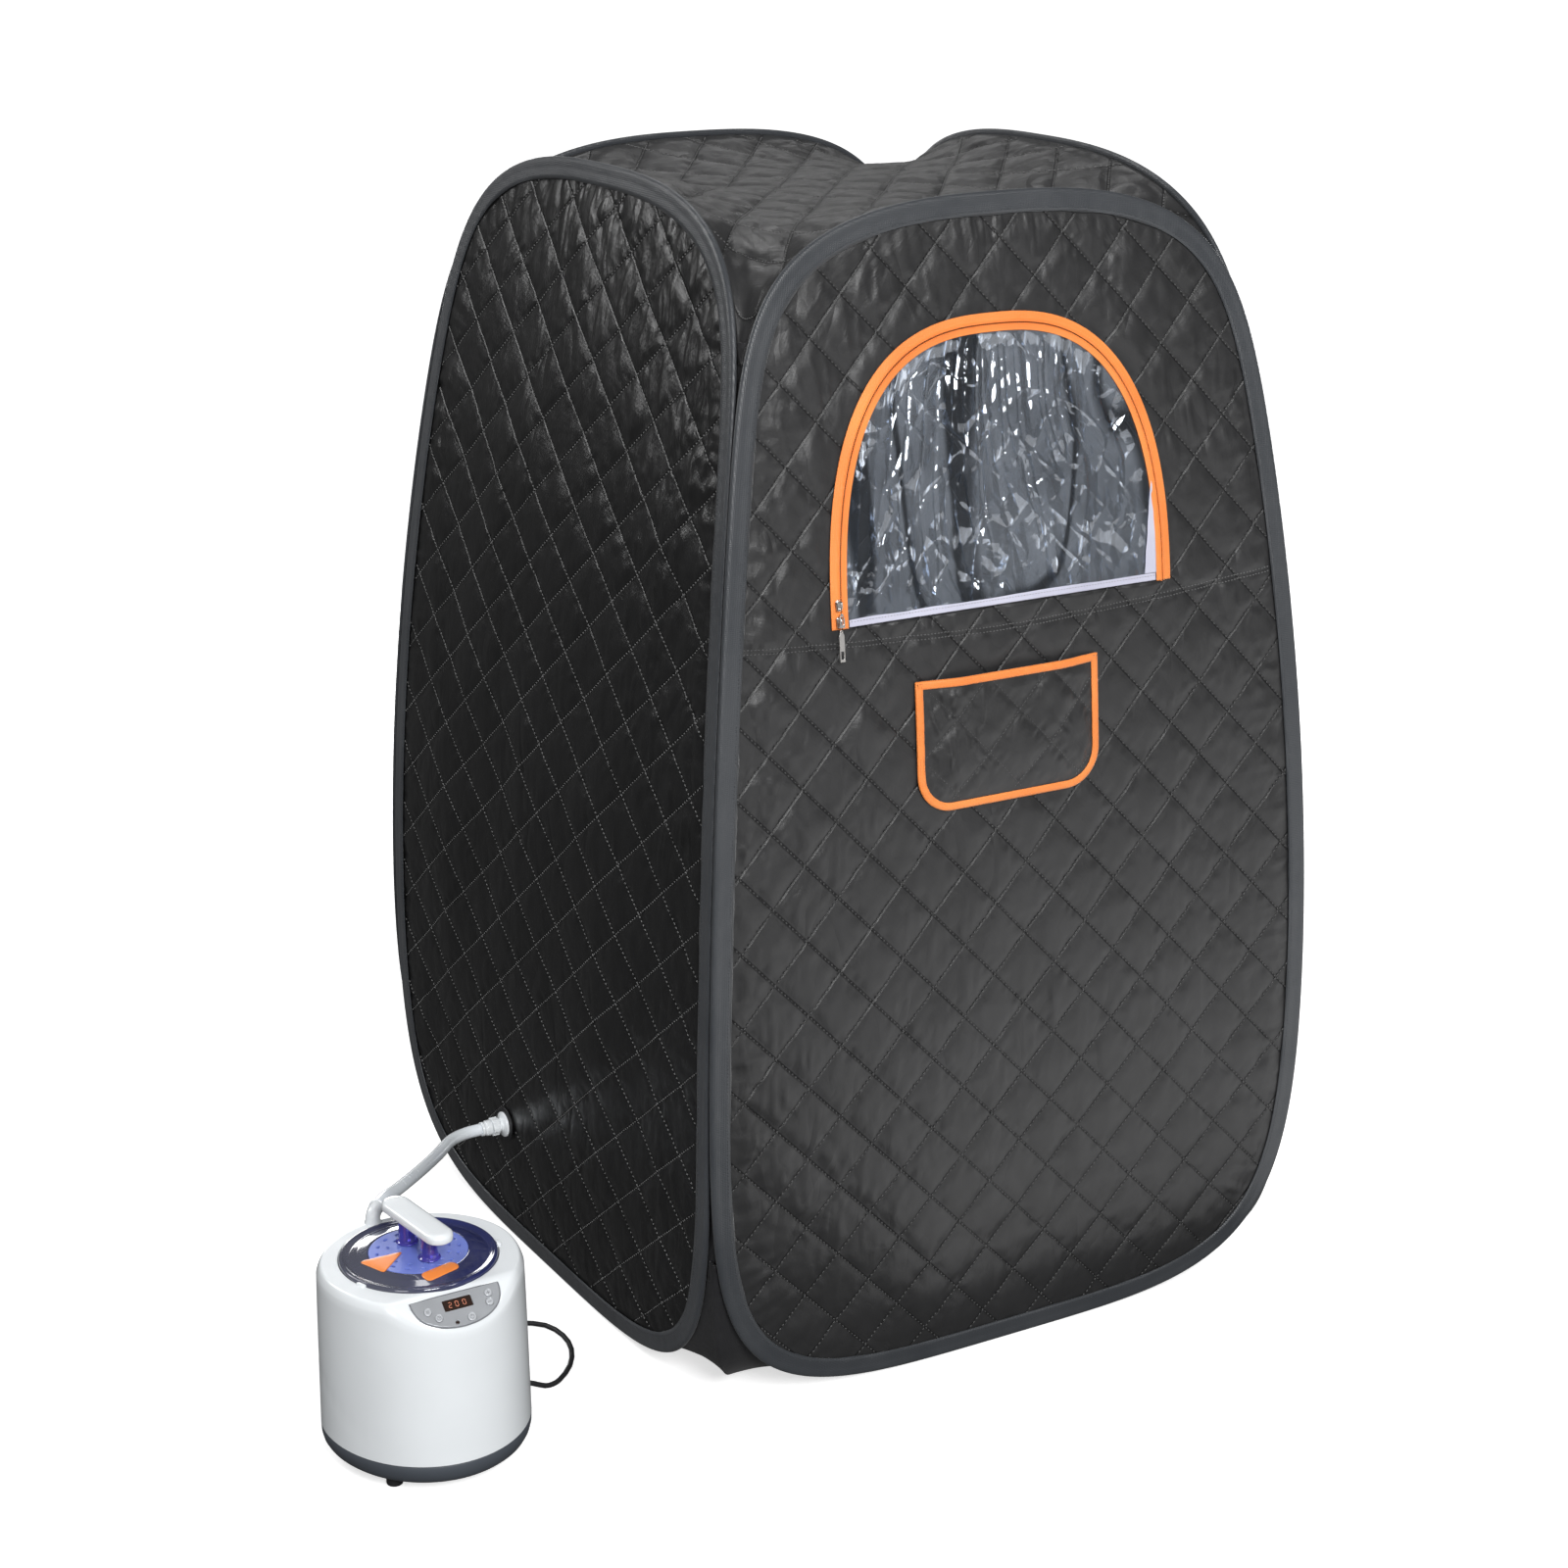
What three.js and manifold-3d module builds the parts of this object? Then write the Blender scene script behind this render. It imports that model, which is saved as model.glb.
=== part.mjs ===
// Portable steam sauna: a pop-up quilted enclosure on four spring-steel hoops, with a zipped clear window
// flap and a patch pocket, and a separate steam pot with its hose and mains lead.
// Millimetres. Origin on the floor at the middle of the enclosure, +X right, -Y out of the front, +Z up.

import * as THREE from "three";
import { mergeVertices } from "three/addons/utils/BufferGeometryUtils.js";
import Module from "manifold-3d";

const wasm = await Module();
wasm.setup();

// ---------------------------------------------------------------- driving dimensions

const GAP = 0.3; // gap between touching pieces

// Enclosure: each wall bows out a little and leans in towards the roof
const HALF_WIDTH = 382; // left and right walls from the middle, at BELLY_Z, before the bow
const HALF_DEPTH = 418; // front and back walls from the middle, at BELLY_Z, before the bow
const BELLY_Z = 608;
const LEAN_X = 0.057; // inward lean of the left and right walls, mm per mm
const LEAN_Y = 0.045; // inward lean of the front and back walls
const BOW = 34; // how far a wall bows out at BELLY_Z

// Hoop outline: a superellipse above and below the shoulder height
const FRONT_HEIGHT = 1400;
const SIDE_HEIGHT = 1412;
const SHOULDER_Z = 874;
const TOP_POWER = { across: 2.66, up: 7.9 };
const BOTTOM_POWER = { across: 4.0, up: 9.0 };
const STATIONS = 56; // steps round a hoop
const DENSE_STEPS = 1500;

// Hoop edge: wire inside a folded tape, the quilt sewn between the tape's two legs
const TAPE_WIDTH = 26;
const TAPE_HALF = 4; // half of the folded tape's outer thickness
const TAPE_WALL = 1.2;
const WIRE_RADIUS = 2.2;
const WIRE_INSET = 4.6;
const QUILT_HALF = 2.4; // half of a wall panel's thickness
const QUILT_INSET = 9;

// Roof and floor sheets, hung between the hoops
const SHEET_CELLS = 12;
const SETTLE_ROUNDS = 400;
const SHEET_THICK = 3;
const ROOF_JOIN_Z = 1245; // where two neighbouring hoops part at the top
const FLOOR_JOIN_Z = 200; // where they part at the bottom
const SHEET_CLEAR = 3; // from a sheet's edge to the tape beside it
const ROOF_DROP = 5; // roof edge below the hoop's outer line

// Window in the front wall
const WINDOW = { middle: -20, half: 233, sill: 940, rise: 328, power: 2.6, steps: 14 };
const ZIP = { outerEnd: 12, coilStart: 9, innerStart: 12.8, innerEnd: 21 };
const WINDOW_HOLE_INSET = 10.5;
const SHEET_INSET = 17;

// Zip sliders, on the straight left stretch of the zip
const SLIDER = { width: 7.5, height: 13, depth: 4.5, upperZ: 968, lowerZ: 949, offset: 7.5 };
const PULL = { width: 7, thick: 1.6, upperLength: 16, lowerLength: 36, hole: [3.4, 8] };
const UPPER_PULL_OUT = 2.6; // the upper pull hangs in front of the lower slider

// Patch pocket
const POCKET = { middle: -22, half: 125, bottom: 711, top: 866, corner: 45, wall: 2.5, depth: 11 };
const POCKET_EDGE = 10;

// Hose port in the left wall
const PORT = { y: 107, z: 164, hole: 17, lip: 13, flange: 23 };

// Steam pot, in its own frame: origin on the floor under the lid's middle
const POT_AT = new THREE.Vector3(-727, -310, 0);
const POT = { side: 121, front: 134, back: 112, foot: 14, band: 40, rim: 238, wall: 3 };
const SLOPE = { startY: -93, startZ: 238, angle: 38 }; // sloped front shoulder that carries the fascia
const FASCIA = { half: 53, height: 40, top: 6, thick: 2 };
const LID = { radius: 91, disc: 57, rise: 10, turn: 7 };
const BRIDGE = { length: 128, width: 33, thick: 11, z: 288 };
const POST = { radius: 10, spread: 25 };
const HOSE_RADIUS = 8;
const LEAD_RADIUS = 3.2;
const COIL = { x: 75, y: 262, mean: 35, half: 7.4, z: 0.4, height: 13.4 };

// Colours and finishes, by kind of piece
const LOOK = {
  quilt: [0x2f3032, 0.55, 0],
  tape: [0x33373c, 0.7, 0],
  orange: [0xf58230, 0.6, 0],
  steel: [0x8d9196, 0.35, 1],
  clear: [0xc9cfd6, 0.1, 0],
  white: [0xeef1f5, 0.25, 0],
  slate: [0x3d4248, 0.45, 0],
  rubber: [0x17181a, 0.8, 0],
  blue: [0x3c4fb4, 0.15, 0],
  silver: [0xb4b8bd, 0.4, 0],
  display: [0x2a1c18, 0.15, 0],
};

// ---------------------------------------------------------------- helpers

const sauna = new THREE.Group();
const steamPot = new THREE.Group();
steamPot.position.copy(POT_AT);
sauna.add(steamPot);

function addPiece(parent, name, geometry, look) {
  const [color, roughness, metalness] = LOOK[look];
  const mesh = new THREE.Mesh(geometry, new THREE.MeshStandardMaterial({ color, roughness, metalness }));
  mesh.name = name;
  parent.add(mesh);
  return mesh;
}

function toSolid(geometry) {
  const bare = geometry.clone();
  for (const attribute of ["normal", "uv"]) {
    bare.deleteAttribute(attribute);
  }
  const merged = mergeVertices(bare, 1e-4);
  return new wasm.Manifold(
    new wasm.Mesh({
      numProp: 3,
      vertProperties: new Float32Array(merged.attributes.position.array),
      triVerts: new Uint32Array(merged.index.array),
    })
  );
}

function toGeometry(manifold) {
  const mesh = manifold.getMesh();
  const geometry = new THREE.BufferGeometry();
  geometry.setAttribute("position", new THREE.BufferAttribute(new Float32Array(mesh.vertProperties), 3));
  geometry.setIndex(Array.from(mesh.triVerts));
  geometry.computeVertexNormals();
  return geometry;
}

function cut(geometry, ...tools) {
  return toGeometry(tools.reduce((left, tool) => left.subtract(toSolid(tool)), toSolid(geometry)));
}

function join(geometry, ...others) {
  return toGeometry(others.reduce((left, other) => left.add(toSolid(other)), toSolid(geometry)));
}

// A closed mesh from points and faces, turned so that its faces point out
function closedMesh(points, faces) {
  let volume = 0;
  for (const [a, b, c] of faces) {
    volume += points[a].dot(new THREE.Vector3().crossVectors(points[b], points[c]));
  }
  const geometry = new THREE.BufferGeometry();
  geometry.setAttribute("position", new THREE.Float32BufferAttribute(points.flatMap((p) => p.toArray()), 3));
  geometry.setIndex(faces.flatMap(([a, b, c]) => (volume > 0 ? [a, b, c] : [a, c, b])));
  geometry.computeVertexNormals();
  return geometry;
}

// A section swept through a row of rings; closed joins the last ring to the first, else both ends are capped
function sweepRings(rings, closed) {
  const sides = rings[0].length;
  const points = rings.flat();
  const faces = [];
  const last = closed ? rings.length : rings.length - 1;
  for (let i = 0; i < last; i++) {
    const here = i * sides;
    const next = ((i + 1) % rings.length) * sides;
    for (let j = 0; j < sides; j++) {
      const k = (j + 1) % sides;
      faces.push([here + j, next + j, next + k], [here + j, next + k, here + k]);
    }
  }
  return { points, faces };
}

function sweepLoop(rings) {
  const { points, faces } = sweepRings(rings, true);
  return closedMesh(points, faces);
}

function sweepOpen(rings, section) {
  const { points, faces } = sweepRings(rings, false);
  const cap = THREE.ShapeUtils.triangulateShape(section.map(([x, y]) => new THREE.Vector2(x, y)), []);
  const end = (rings.length - 1) * section.length;
  const turned = THREE.ShapeUtils.area(section.map(([x, y]) => new THREE.Vector2(x, y))) > 0;
  for (const [a, b, c] of cap) {
    faces.push(turned ? [a, b, c] : [a, c, b]);
    faces.push(turned ? [end + a, end + c, end + b] : [end + a, end + b, end + c]);
  }
  return closedMesh(points, orientCaps(points, faces, rings.length, section.length));
}

// The caps' winding is checked against the side faces' first edge
function orientCaps(points, faces, count, sides) {
  const sideFaces = (count - 1) * sides * 2;
  const edgesOf = ([a, b, c]) => [`${a}_${b}`, `${b}_${c}`, `${c}_${a}`];
  const edges = new Set(faces.slice(0, sideFaces).flatMap(edgesOf));
  const caps = faces.slice(sideFaces);
  const clash = caps.some((face) => edgesOf(face).some((edge) => edges.has(edge)));
  const fixed = clash ? caps.map(([a, b, c]) => [a, c, b]) : caps;
  return [...faces.slice(0, sideFaces), ...fixed];
}

// ---------------------------------------------------------------- wall surfaces

function sideWallX(z) {
  const along = (z - BELLY_Z) / BELLY_Z;
  return HALF_WIDTH - (z - BELLY_Z) * LEAN_X + BOW * (1 - along * along);
}

function frontWallY(z) {
  const along = (z - BELLY_Z) / BELLY_Z;
  return HALF_DEPTH - (z - BELLY_Z) * LEAN_Y + BOW * (1 - along * along);
}

// Each wall has its own across, height and outward offset; place puts them in the enclosure's frame.
// The front and back walls cover the corners, and the side walls stand between them.
const acrossFront = (z) => sideWallX(z) + TAPE_HALF;
const acrossSide = (z) => frontWallY(z) - TAPE_HALF - 1.5;
const WALLS = {
  front: { half: acrossFront, height: FRONT_HEIGHT, place: (u, z, n) => [u, -(frontWallY(z) + n), z] },
  right: { half: acrossSide, height: SIDE_HEIGHT, place: (u, z, n) => [sideWallX(z) + n, u, z] },
  back: { half: acrossFront, height: FRONT_HEIGHT, place: (u, z, n) => [-u, frontWallY(z) + n, z] },
  left: { half: acrossSide, height: SIDE_HEIGHT, place: (u, z, n) => [-(sideWallX(z) + n), -u, z] },
};

function put(wall, u, z, n) {
  return new THREE.Vector3(...wall.place(u, z, n));
}

// Right half of a hoop's outer line, from the bottom middle to the top middle, evenly spaced
function hoopLine(wall) {
  const dense = [];
  for (let i = 0; i <= DENSE_STEPS; i++) {
    const rise = Math.sin((i / DENSE_STEPS - 0.5) * Math.PI);
    const power = rise > 0 ? TOP_POWER : BOTTOM_POWER;
    const z = SHOULDER_Z + rise * (rise > 0 ? wall.height - SHOULDER_Z : SHOULDER_Z);
    const across = Math.pow(Math.max(0, 1 - Math.pow(Math.abs(rise), power.up)), 1 / power.across);
    dense.push(new THREE.Vector2(across * wall.half(z), z));
  }
  return evenly(dense, STATIONS / 2);
}

// A polyline resampled into equal steps, each point with its inward normal
function evenly(line, steps) {
  const run = [0];
  for (let i = 1; i < line.length; i++) {
    run.push(run[i - 1] + line[i].distanceTo(line[i - 1]));
  }
  const out = [];
  let k = 1;
  for (let i = 0; i <= steps; i++) {
    const want = (run[run.length - 1] * i) / steps;
    while (k < run.length - 1 && run[k] < want) {
      k++;
    }
    const t = (want - run[k - 1]) / (run[k] - run[k - 1] || 1);
    out.push({ p: line[k - 1].clone().lerp(line[k], t) });
  }
  out.forEach((station, i) => {
    const before = i ? out[i - 1].p : new THREE.Vector2(-out[1].p.x, out[1].p.y);
    const after = i < steps ? out[i + 1].p : new THREE.Vector2(-out[steps - 1].p.x, out[steps - 1].p.y);
    const along = after.clone().sub(before).normalize();
    station.inward = new THREE.Vector2(-along.y, along.x);
  });
  return out;
}

function inset(station, distance) {
  return station.p.clone().addScaledVector(station.inward, distance);
}

function mirrored({ p, inward }) {
  return { p: new THREE.Vector2(-p.x, p.y), inward: new THREE.Vector2(-inward.x, inward.y) };
}

// All stations round a hoop, the left half mirrored from the right
function fullLoop(line) {
  return [...line, ...line.slice(1, -1).reverse().map(mirrored)];
}

// A section of [inset, outward] points swept right round a hoop
function hoopSweep(wall, line, section) {
  const rings = fullLoop(line).map((station) =>
    section.map(([r, n]) => {
      const at = inset(station, r);
      return put(wall, at.x, at.y, n);
    })
  );
  return sweepLoop(rings);
}

// A panel between two outward offsets, built in level strips so that it follows the wall's bow.
// rightSide runs from bottom to top, as offsets from the middle line
function stripPanel(wall, rightSide, middle, near, far) {
  const points = [];
  const faces = [];
  for (const { x, y } of rightSide) {
    for (const [side, n] of [[1, near], [-1, near], [-1, far], [1, far]]) {
      points.push(put(wall, middle + side * x, y, n));
    }
  }
  for (let i = 0; i < rightSide.length - 1; i++) {
    const here = i * 4;
    for (let j = 0; j < 4; j++) {
      const k = (j + 1) % 4;
      faces.push([here + j, here + 4 + j, here + 4 + k], [here + j, here + 4 + k, here + k]);
    }
  }
  const end = (rightSide.length - 1) * 4;
  faces.push([0, 1, 2], [0, 2, 3], [end, end + 2, end + 1], [end, end + 3, end + 2]);
  return closedMesh(points, orientCaps(points, faces, rightSide.length, 4));
}

// The point where the panel's outline meets the middle line is opened a little, so that no strip is a sliver
function panelSide(line, distance) {
  return line.map((station, i) => {
    const at = inset(station, distance);
    at.x = i === 0 || i === line.length - 1 ? 2 : at.x;
    return at;
  });
}

// ---------------------------------------------------------------- hoops, edge tapes and wall panels

function wireSection() {
  const section = [];
  for (let i = 0; i < 6; i++) {
    const angle = (i / 6) * Math.PI * 2;
    section.push([WIRE_INSET + WIRE_RADIUS * Math.cos(angle), WIRE_RADIUS * Math.sin(angle)]);
  }
  return section;
}

function tapeSection() {
  const inner = TAPE_HALF - TAPE_WALL;
  return [
    [0, -TAPE_HALF],
    [TAPE_WIDTH, -TAPE_HALF],
    [TAPE_WIDTH, -inner],
    [TAPE_WALL, -inner],
    [TAPE_WALL, inner],
    [TAPE_WIDTH, inner],
    [TAPE_WIDTH, TAPE_HALF],
    [0, TAPE_HALF],
  ];
}

const hoopLines = {};
for (const [name, wall] of Object.entries(WALLS)) {
  const line = hoopLine(wall);
  hoopLines[name] = line;
  addPiece(sauna, `${name}_hoop`, hoopSweep(wall, line, wireSection()), "steel");
  addPiece(sauna, `${name}_edge_tape`, hoopSweep(wall, line, tapeSection()), "tape");
  const panel = stripPanel(wall, panelSide(line, QUILT_INSET), 0, -QUILT_HALF, QUILT_HALF);
  addPiece(sauna, `${name}_wall`, cutWall(name, panel), "quilt");
}

function cutWall(name, panel) {
  if (name === "front") {
    return cut(panel, windowCutter());
  }
  if (name === "left") {
    return cut(panel, portCylinder(PORT.hole, 40));
  }
  return panel;
}

// ---------------------------------------------------------------- window flap and its zip

// Right half of the window's outer line, from the sill to the top middle
function windowLine() {
  const dense = [];
  for (let i = 0; i <= DENSE_STEPS; i++) {
    const angle = (i / DENSE_STEPS) * (Math.PI / 2);
    const across = Math.pow(Math.cos(angle), 2 / WINDOW.power);
    const up = Math.pow(Math.sin(angle), 2 / WINDOW.power);
    dense.push(new THREE.Vector2(across * WINDOW.half, WINDOW.sill + up * WINDOW.rise));
  }
  const line = evenly(dense, WINDOW.steps);
  line[0].inward.set(-1, 0);
  return line;
}

function windowSide(distance, bottom) {
  return windowLine().map((station, i, all) => {
    const at = inset(station, distance);
    at.x = i === all.length - 1 ? 2 : at.x;
    at.y = i === 0 ? bottom : at.y;
    return at;
  });
}

function windowCutter() {
  return stripPanel(WALLS.front, windowSide(WINDOW_HOLE_INSET, WINDOW.sill), WINDOW.middle, -20, 20);
}

// A section of [inset, outward] points swept from the left sill end over the top to the right
function archSweep(section) {
  const right = windowLine();
  const left = right.slice(0, -1).map(mirrored);
  const rings = [...left, ...right.reverse()].map((station) =>
    section.map(([r, n]) => {
      const at = inset(station, r);
      return put(WALLS.front, WINDOW.middle + at.x, at.y, n);
    })
  );
  return sweepOpen(rings, section);
}

const FACE = QUILT_HALF + GAP; // outward offset at which pieces sewn on a wall start
addPiece(
  sauna,
  "zip_outer_tape",
  archSweep([
    [0, FACE],
    [ZIP.outerEnd, FACE],
    [ZIP.outerEnd, FACE + 3.6],
    [ZIP.coilStart, FACE + 3.6],
    [ZIP.coilStart, FACE + 1.8],
    [0, FACE + 1.8],
  ]),
  "orange"
);
addPiece(
  sauna,
  "zip_inner_tape",
  archSweep([
    [ZIP.innerStart, FACE + 1.8],
    [ZIP.innerEnd, FACE + 1.8],
    [ZIP.innerEnd, FACE + 3.6],
    [ZIP.innerStart, FACE + 3.6],
  ]),
  "orange"
);
const windowFloor = WINDOW.sill + 1;
addPiece(
  sauna,
  "window_sheet",
  stripPanel(WALLS.front, windowSide(SHEET_INSET, windowFloor), WINDOW.middle, FACE + 0.4, FACE + 1.4),
  "clear"
);
const hemHalf = WINDOW.half - ZIP.innerEnd - 1;
const hemSide = [new THREE.Vector2(hemHalf, windowFloor), new THREE.Vector2(hemHalf, windowFloor + 12)];
addPiece(sauna, "window_hem", stripPanel(WALLS.front, hemSide, WINDOW.middle, FACE + 1.8, FACE + 3.2), "clear");

// ---------------------------------------------------------------- zip sliders and pulls

const trackU = WINDOW.middle - WINDOW.half + SLIDER.offset;

function boxOnWall(u, z, n, width, height, depth) {
  const side = [new THREE.Vector2(width / 2, z - height / 2), new THREE.Vector2(width / 2, z + height / 2)];
  return stripPanel(WALLS.front, side, u, n, n + depth);
}

// A slider body with a bridge over its face that holds the pull
function slider(z, out) {
  const body = boxOnWall(trackU, z, FACE + 4, SLIDER.width, SLIDER.height, SLIDER.depth - 1.5);
  const bridge = boxOnWall(trackU, z, FACE + 6.2, 3, SLIDER.height - 3, 3.4 + out);
  const eye = boxOnWall(trackU, z, FACE + 7.3, 6, SLIDER.height - 8, 1.3 + out);
  return cut(join(body, bridge), eye);
}

// A pull tab hanging below its slider, with a long hole
function pull(z, length, out) {
  const top = z - SLIDER.height / 2 - 1.2;
  const n = FACE + 7.6 + out;
  const tab = boxOnWall(trackU, top - length / 2, n, PULL.width, length, PULL.thick);
  const slot = boxOnWall(trackU, top - length + 4 + PULL.hole[1] / 2, n - 2, PULL.hole[0], PULL.hole[1], 6);
  return cut(tab, slot);
}

for (const [name, z, length, out] of [
  ["upper", SLIDER.upperZ, PULL.upperLength, UPPER_PULL_OUT],
  ["lower", SLIDER.lowerZ, PULL.lowerLength, 0],
]) {
  addPiece(sauna, `zip_slider_${name}`, slider(z, out), "steel");
  addPiece(sauna, `zip_pull_${name}`, pull(z, length, out), "steel");
}

// ---------------------------------------------------------------- patch pocket

// Right half of the pocket's outline from the bottom middle, grown or shrunk by spread
function pocketSide(spread, top) {
  const radius = POCKET.corner + spread;
  const corner = new THREE.Vector2(POCKET.half - POCKET.corner, POCKET.bottom + POCKET.corner);
  const side = [new THREE.Vector2(2, POCKET.bottom - spread)];
  for (let i = 0; i <= 6; i++) {
    const angle = -Math.PI / 2 + (i / 6) * (Math.PI / 2);
    side.push(new THREE.Vector2(corner.x + radius * Math.cos(angle), corner.y + radius * Math.sin(angle)));
  }
  side[1].y += 0.01;
  side.push(new THREE.Vector2(POCKET.half + spread, (corner.y + top) / 2));
  side.push(new THREE.Vector2(POCKET.half + spread, top));
  return side;
}

const pocketFace = FACE + POCKET.depth + POCKET.wall;
addPiece(
  sauna,
  "pocket_patch",
  cut(
    stripPanel(WALLS.front, pocketSide(0, POCKET.top), POCKET.middle, FACE, pocketFace),
    stripPanel(WALLS.front, pocketSide(-POCKET.wall, POCKET.top + 5), POCKET.middle, -2, FACE + POCKET.depth)
  ),
  "quilt"
);
addPiece(
  sauna,
  "pocket_edge_tape",
  cut(
    stripPanel(WALLS.front, pocketSide(1, POCKET.top), POCKET.middle, pocketFace + GAP, pocketFace + GAP + 1.5),
    stripPanel(WALLS.front, pocketSide(-POCKET_EDGE, POCKET.top - POCKET_EDGE), POCKET.middle, 0, 30)
  ),
  "orange"
);

// ---------------------------------------------------------------- roof and floor sheets

// Hoop stations above or below a height, from the wall's left to its right
function arcBeyond(name, joinZ, top) {
  const line = hoopLines[name];
  const wall = WALLS[name];
  const dense = [];
  for (const { p } of line) {
    if (top ? p.y > joinZ : p.y < joinZ) {
      dense.push(p.clone());
    }
  }
  const edge = new THREE.Vector2(wall.half(joinZ) - SHEET_CLEAR, joinZ);
  const right = top ? [edge, ...dense] : [edge, ...dense.reverse()];
  const left = right.slice(0, -1).map((p) => new THREE.Vector2(-p.x, p.y));
  return evenly([...left, ...right.reverse()], SHEET_CELLS).map(({ p }) => p);
}

// Where two neighbouring sheet edges meet: no further out than either of them
function sheetCorner(p, q) {
  const x = Math.sign(p.x) * Math.min(Math.abs(p.x), Math.abs(q.x));
  const y = Math.sign(p.y) * Math.min(Math.abs(p.y), Math.abs(q.y));
  return new THREE.Vector3(x, y, (p.z + q.z) / 2);
}

// A grid of points whose four edges follow the hoops
function sheetEdges(top, joinZ, rimShift) {
  const n = SHEET_CELLS;
  const clear = -(TAPE_HALF + SHEET_CLEAR);
  const inWall = (name) =>
    arcBeyond(name, joinZ, top).map((p) => put(WALLS[name], p.x, p.y + rimShift, clear));
  const [front, right, back, left] = ["front", "right", "back", "left"].map(inWall);
  const grid = Array.from({ length: n + 1 }, (_, j) =>
    Array.from({ length: n + 1 }, (_, i) => {
      const across = left[n - j].clone().lerp(right[j], i / n);
      return front[i].clone().lerp(back[n - i], j / n).lerp(across, 0.5);
    })
  );
  for (let i = 0; i <= n; i++) {
    grid[0][i] = front[i];
    grid[n][i] = back[n - i];
    grid[i][0] = left[n - i];
    grid[i][n] = right[i];
  }
  grid[0][0] = sheetCorner(front[0], left[n]);
  grid[0][n] = sheetCorner(front[n], right[0]);
  grid[n][n] = sheetCorner(back[0], right[n]);
  grid[n][0] = sheetCorner(back[n], left[0]);
  return grid;
}

// A sheet stretched between the four hoops: its inside settles like a soap film, then shape moves each point
function stretchedSheet(top, joinZ, rimShift, shape) {
  const grid = sheetEdges(top, joinZ, rimShift);
  const n = SHEET_CELLS;
  for (let round = 0; round < SETTLE_ROUNDS; round++) {
    for (let j = 1; j < n; j++) {
      for (let i = 1; i < n; i++) {
        const around = [grid[j - 1][i], grid[j + 1][i], grid[j][i - 1], grid[j][i + 1]];
        grid[j][i] = around.reduce((sum, p) => sum.add(p), new THREE.Vector3()).multiplyScalar(0.25);
      }
    }
  }
  grid.forEach((row, j) => row.forEach((p, i) => shape(p, (2 * i) / n - 1, (2 * j) / n - 1)));
  return sheetSolid(grid, SHEET_THICK);
}

function sheetSolid(grid, thick) {
  const n = grid.length - 1;
  const upper = grid.flat();
  const points = [...upper.map((p) => p.clone().add(new THREE.Vector3(0, 0, thick))), ...upper];
  const faces = [];
  const at = (i, j) => j * (n + 1) + i;
  const half = upper.length;
  for (let j = 0; j < n; j++) {
    for (let i = 0; i < n; i++) {
      const [a, b, c, d] = [at(i, j), at(i + 1, j), at(i + 1, j + 1), at(i, j + 1)];
      faces.push([a, b, c], [a, c, d], [half + a, half + c, half + b], [half + a, half + d, half + c]);
    }
  }
  const steps = Array.from({ length: n }, (_, i) => i);
  const rim = [
    ...steps.map((i) => at(i, 0)),
    ...steps.map((j) => at(n, j)),
    ...steps.map((i) => at(n - i, n)),
    ...steps.map((j) => at(0, n - j)),
  ];
  rim.forEach((a, k) => {
    const b = rim[(k + 1) % rim.length];
    faces.push([a, half + a, half + b], [a, half + b, b]);
  });
  return closedMesh(points, faces);
}

const ROOF_SAG = 22;
addPiece(
  sauna,
  "roof_sheet",
  stretchedSheet(true, ROOF_JOIN_Z, -ROOF_DROP - SHEET_THICK, (p, s, t) => {
    p.z -= ROOF_SAG * (1 - s * s) * (1 - t * t);
  }),
  "quilt"
);
addPiece(
  sauna,
  "floor_sheet",
  stretchedSheet(false, FLOOR_JOIN_Z, TAPE_HALF, (p, s, t) => {
    const edge = Math.pow(Math.max(Math.abs(s), Math.abs(t)), 8);
    p.z = Math.max(s * s < 1 && t * t < 1 ? 0 : 2, p.z * (edge < 0.1 ? 0 : edge));
  }),
  "quilt"
);

// ---------------------------------------------------------------- hose port

// A cylinder along the port's axis (X), centred on the left wall there
function portCylinder(radius, length, shift = 0) {
  const rod = new THREE.CylinderGeometry(radius, radius, length, 20);
  rod.rotateZ(Math.PI / 2);
  rod.translate(-sideWallX(PORT.z) + shift, PORT.y, PORT.z);
  return rod;
}

function portGrommet() {
  const barrel = portCylinder(PORT.hole - 1, 2 * QUILT_HALF + 4);
  const inside = portCylinder(PORT.flange, 1.6, QUILT_HALF + 2.4);
  const outside = portCylinder(PORT.flange, 1.6, -QUILT_HALF - 2.4);
  return cut(join(barrel, inside, outside), portCylinder(PORT.lip, 60));
}

addPiece(sauna, "hose_port_grommet", portGrommet(), "rubber");

// ---------------------------------------------------------------- steam pot: base, shell and inside

const PLAN_STEPS = 32;

// The pot's plan: an oval that reaches further at the front than at the back
function planPoint(angle, grow) {
  const depth = Math.sin(angle) > 0 ? POT.back : POT.front;
  return [(POT.side + grow) * Math.cos(angle), (depth + grow) * Math.sin(angle)];
}

// Rings of the plan at [height, growth], closed at both ends
function planLoft(levels) {
  const rings = levels.map(([z, grow]) => {
    const ring = [];
    for (let i = 0; i < PLAN_STEPS; i++) {
      const [x, y] = planPoint((i / PLAN_STEPS) * Math.PI * 2, grow);
      ring.push(new THREE.Vector3(x, y, z));
    }
    return ring;
  });
  const section = rings[0].map((p) => [p.x, p.y]);
  return sweepOpen(rings, section);
}

function disc(radius, z0, z1, x = 0, y = 0, sides = 40) {
  const drum = new THREE.CylinderGeometry(radius, radius, z1 - z0, sides);
  drum.rotateX(Math.PI / 2);
  drum.translate(x, y, (z0 + z1) / 2);
  return drum;
}

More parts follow.
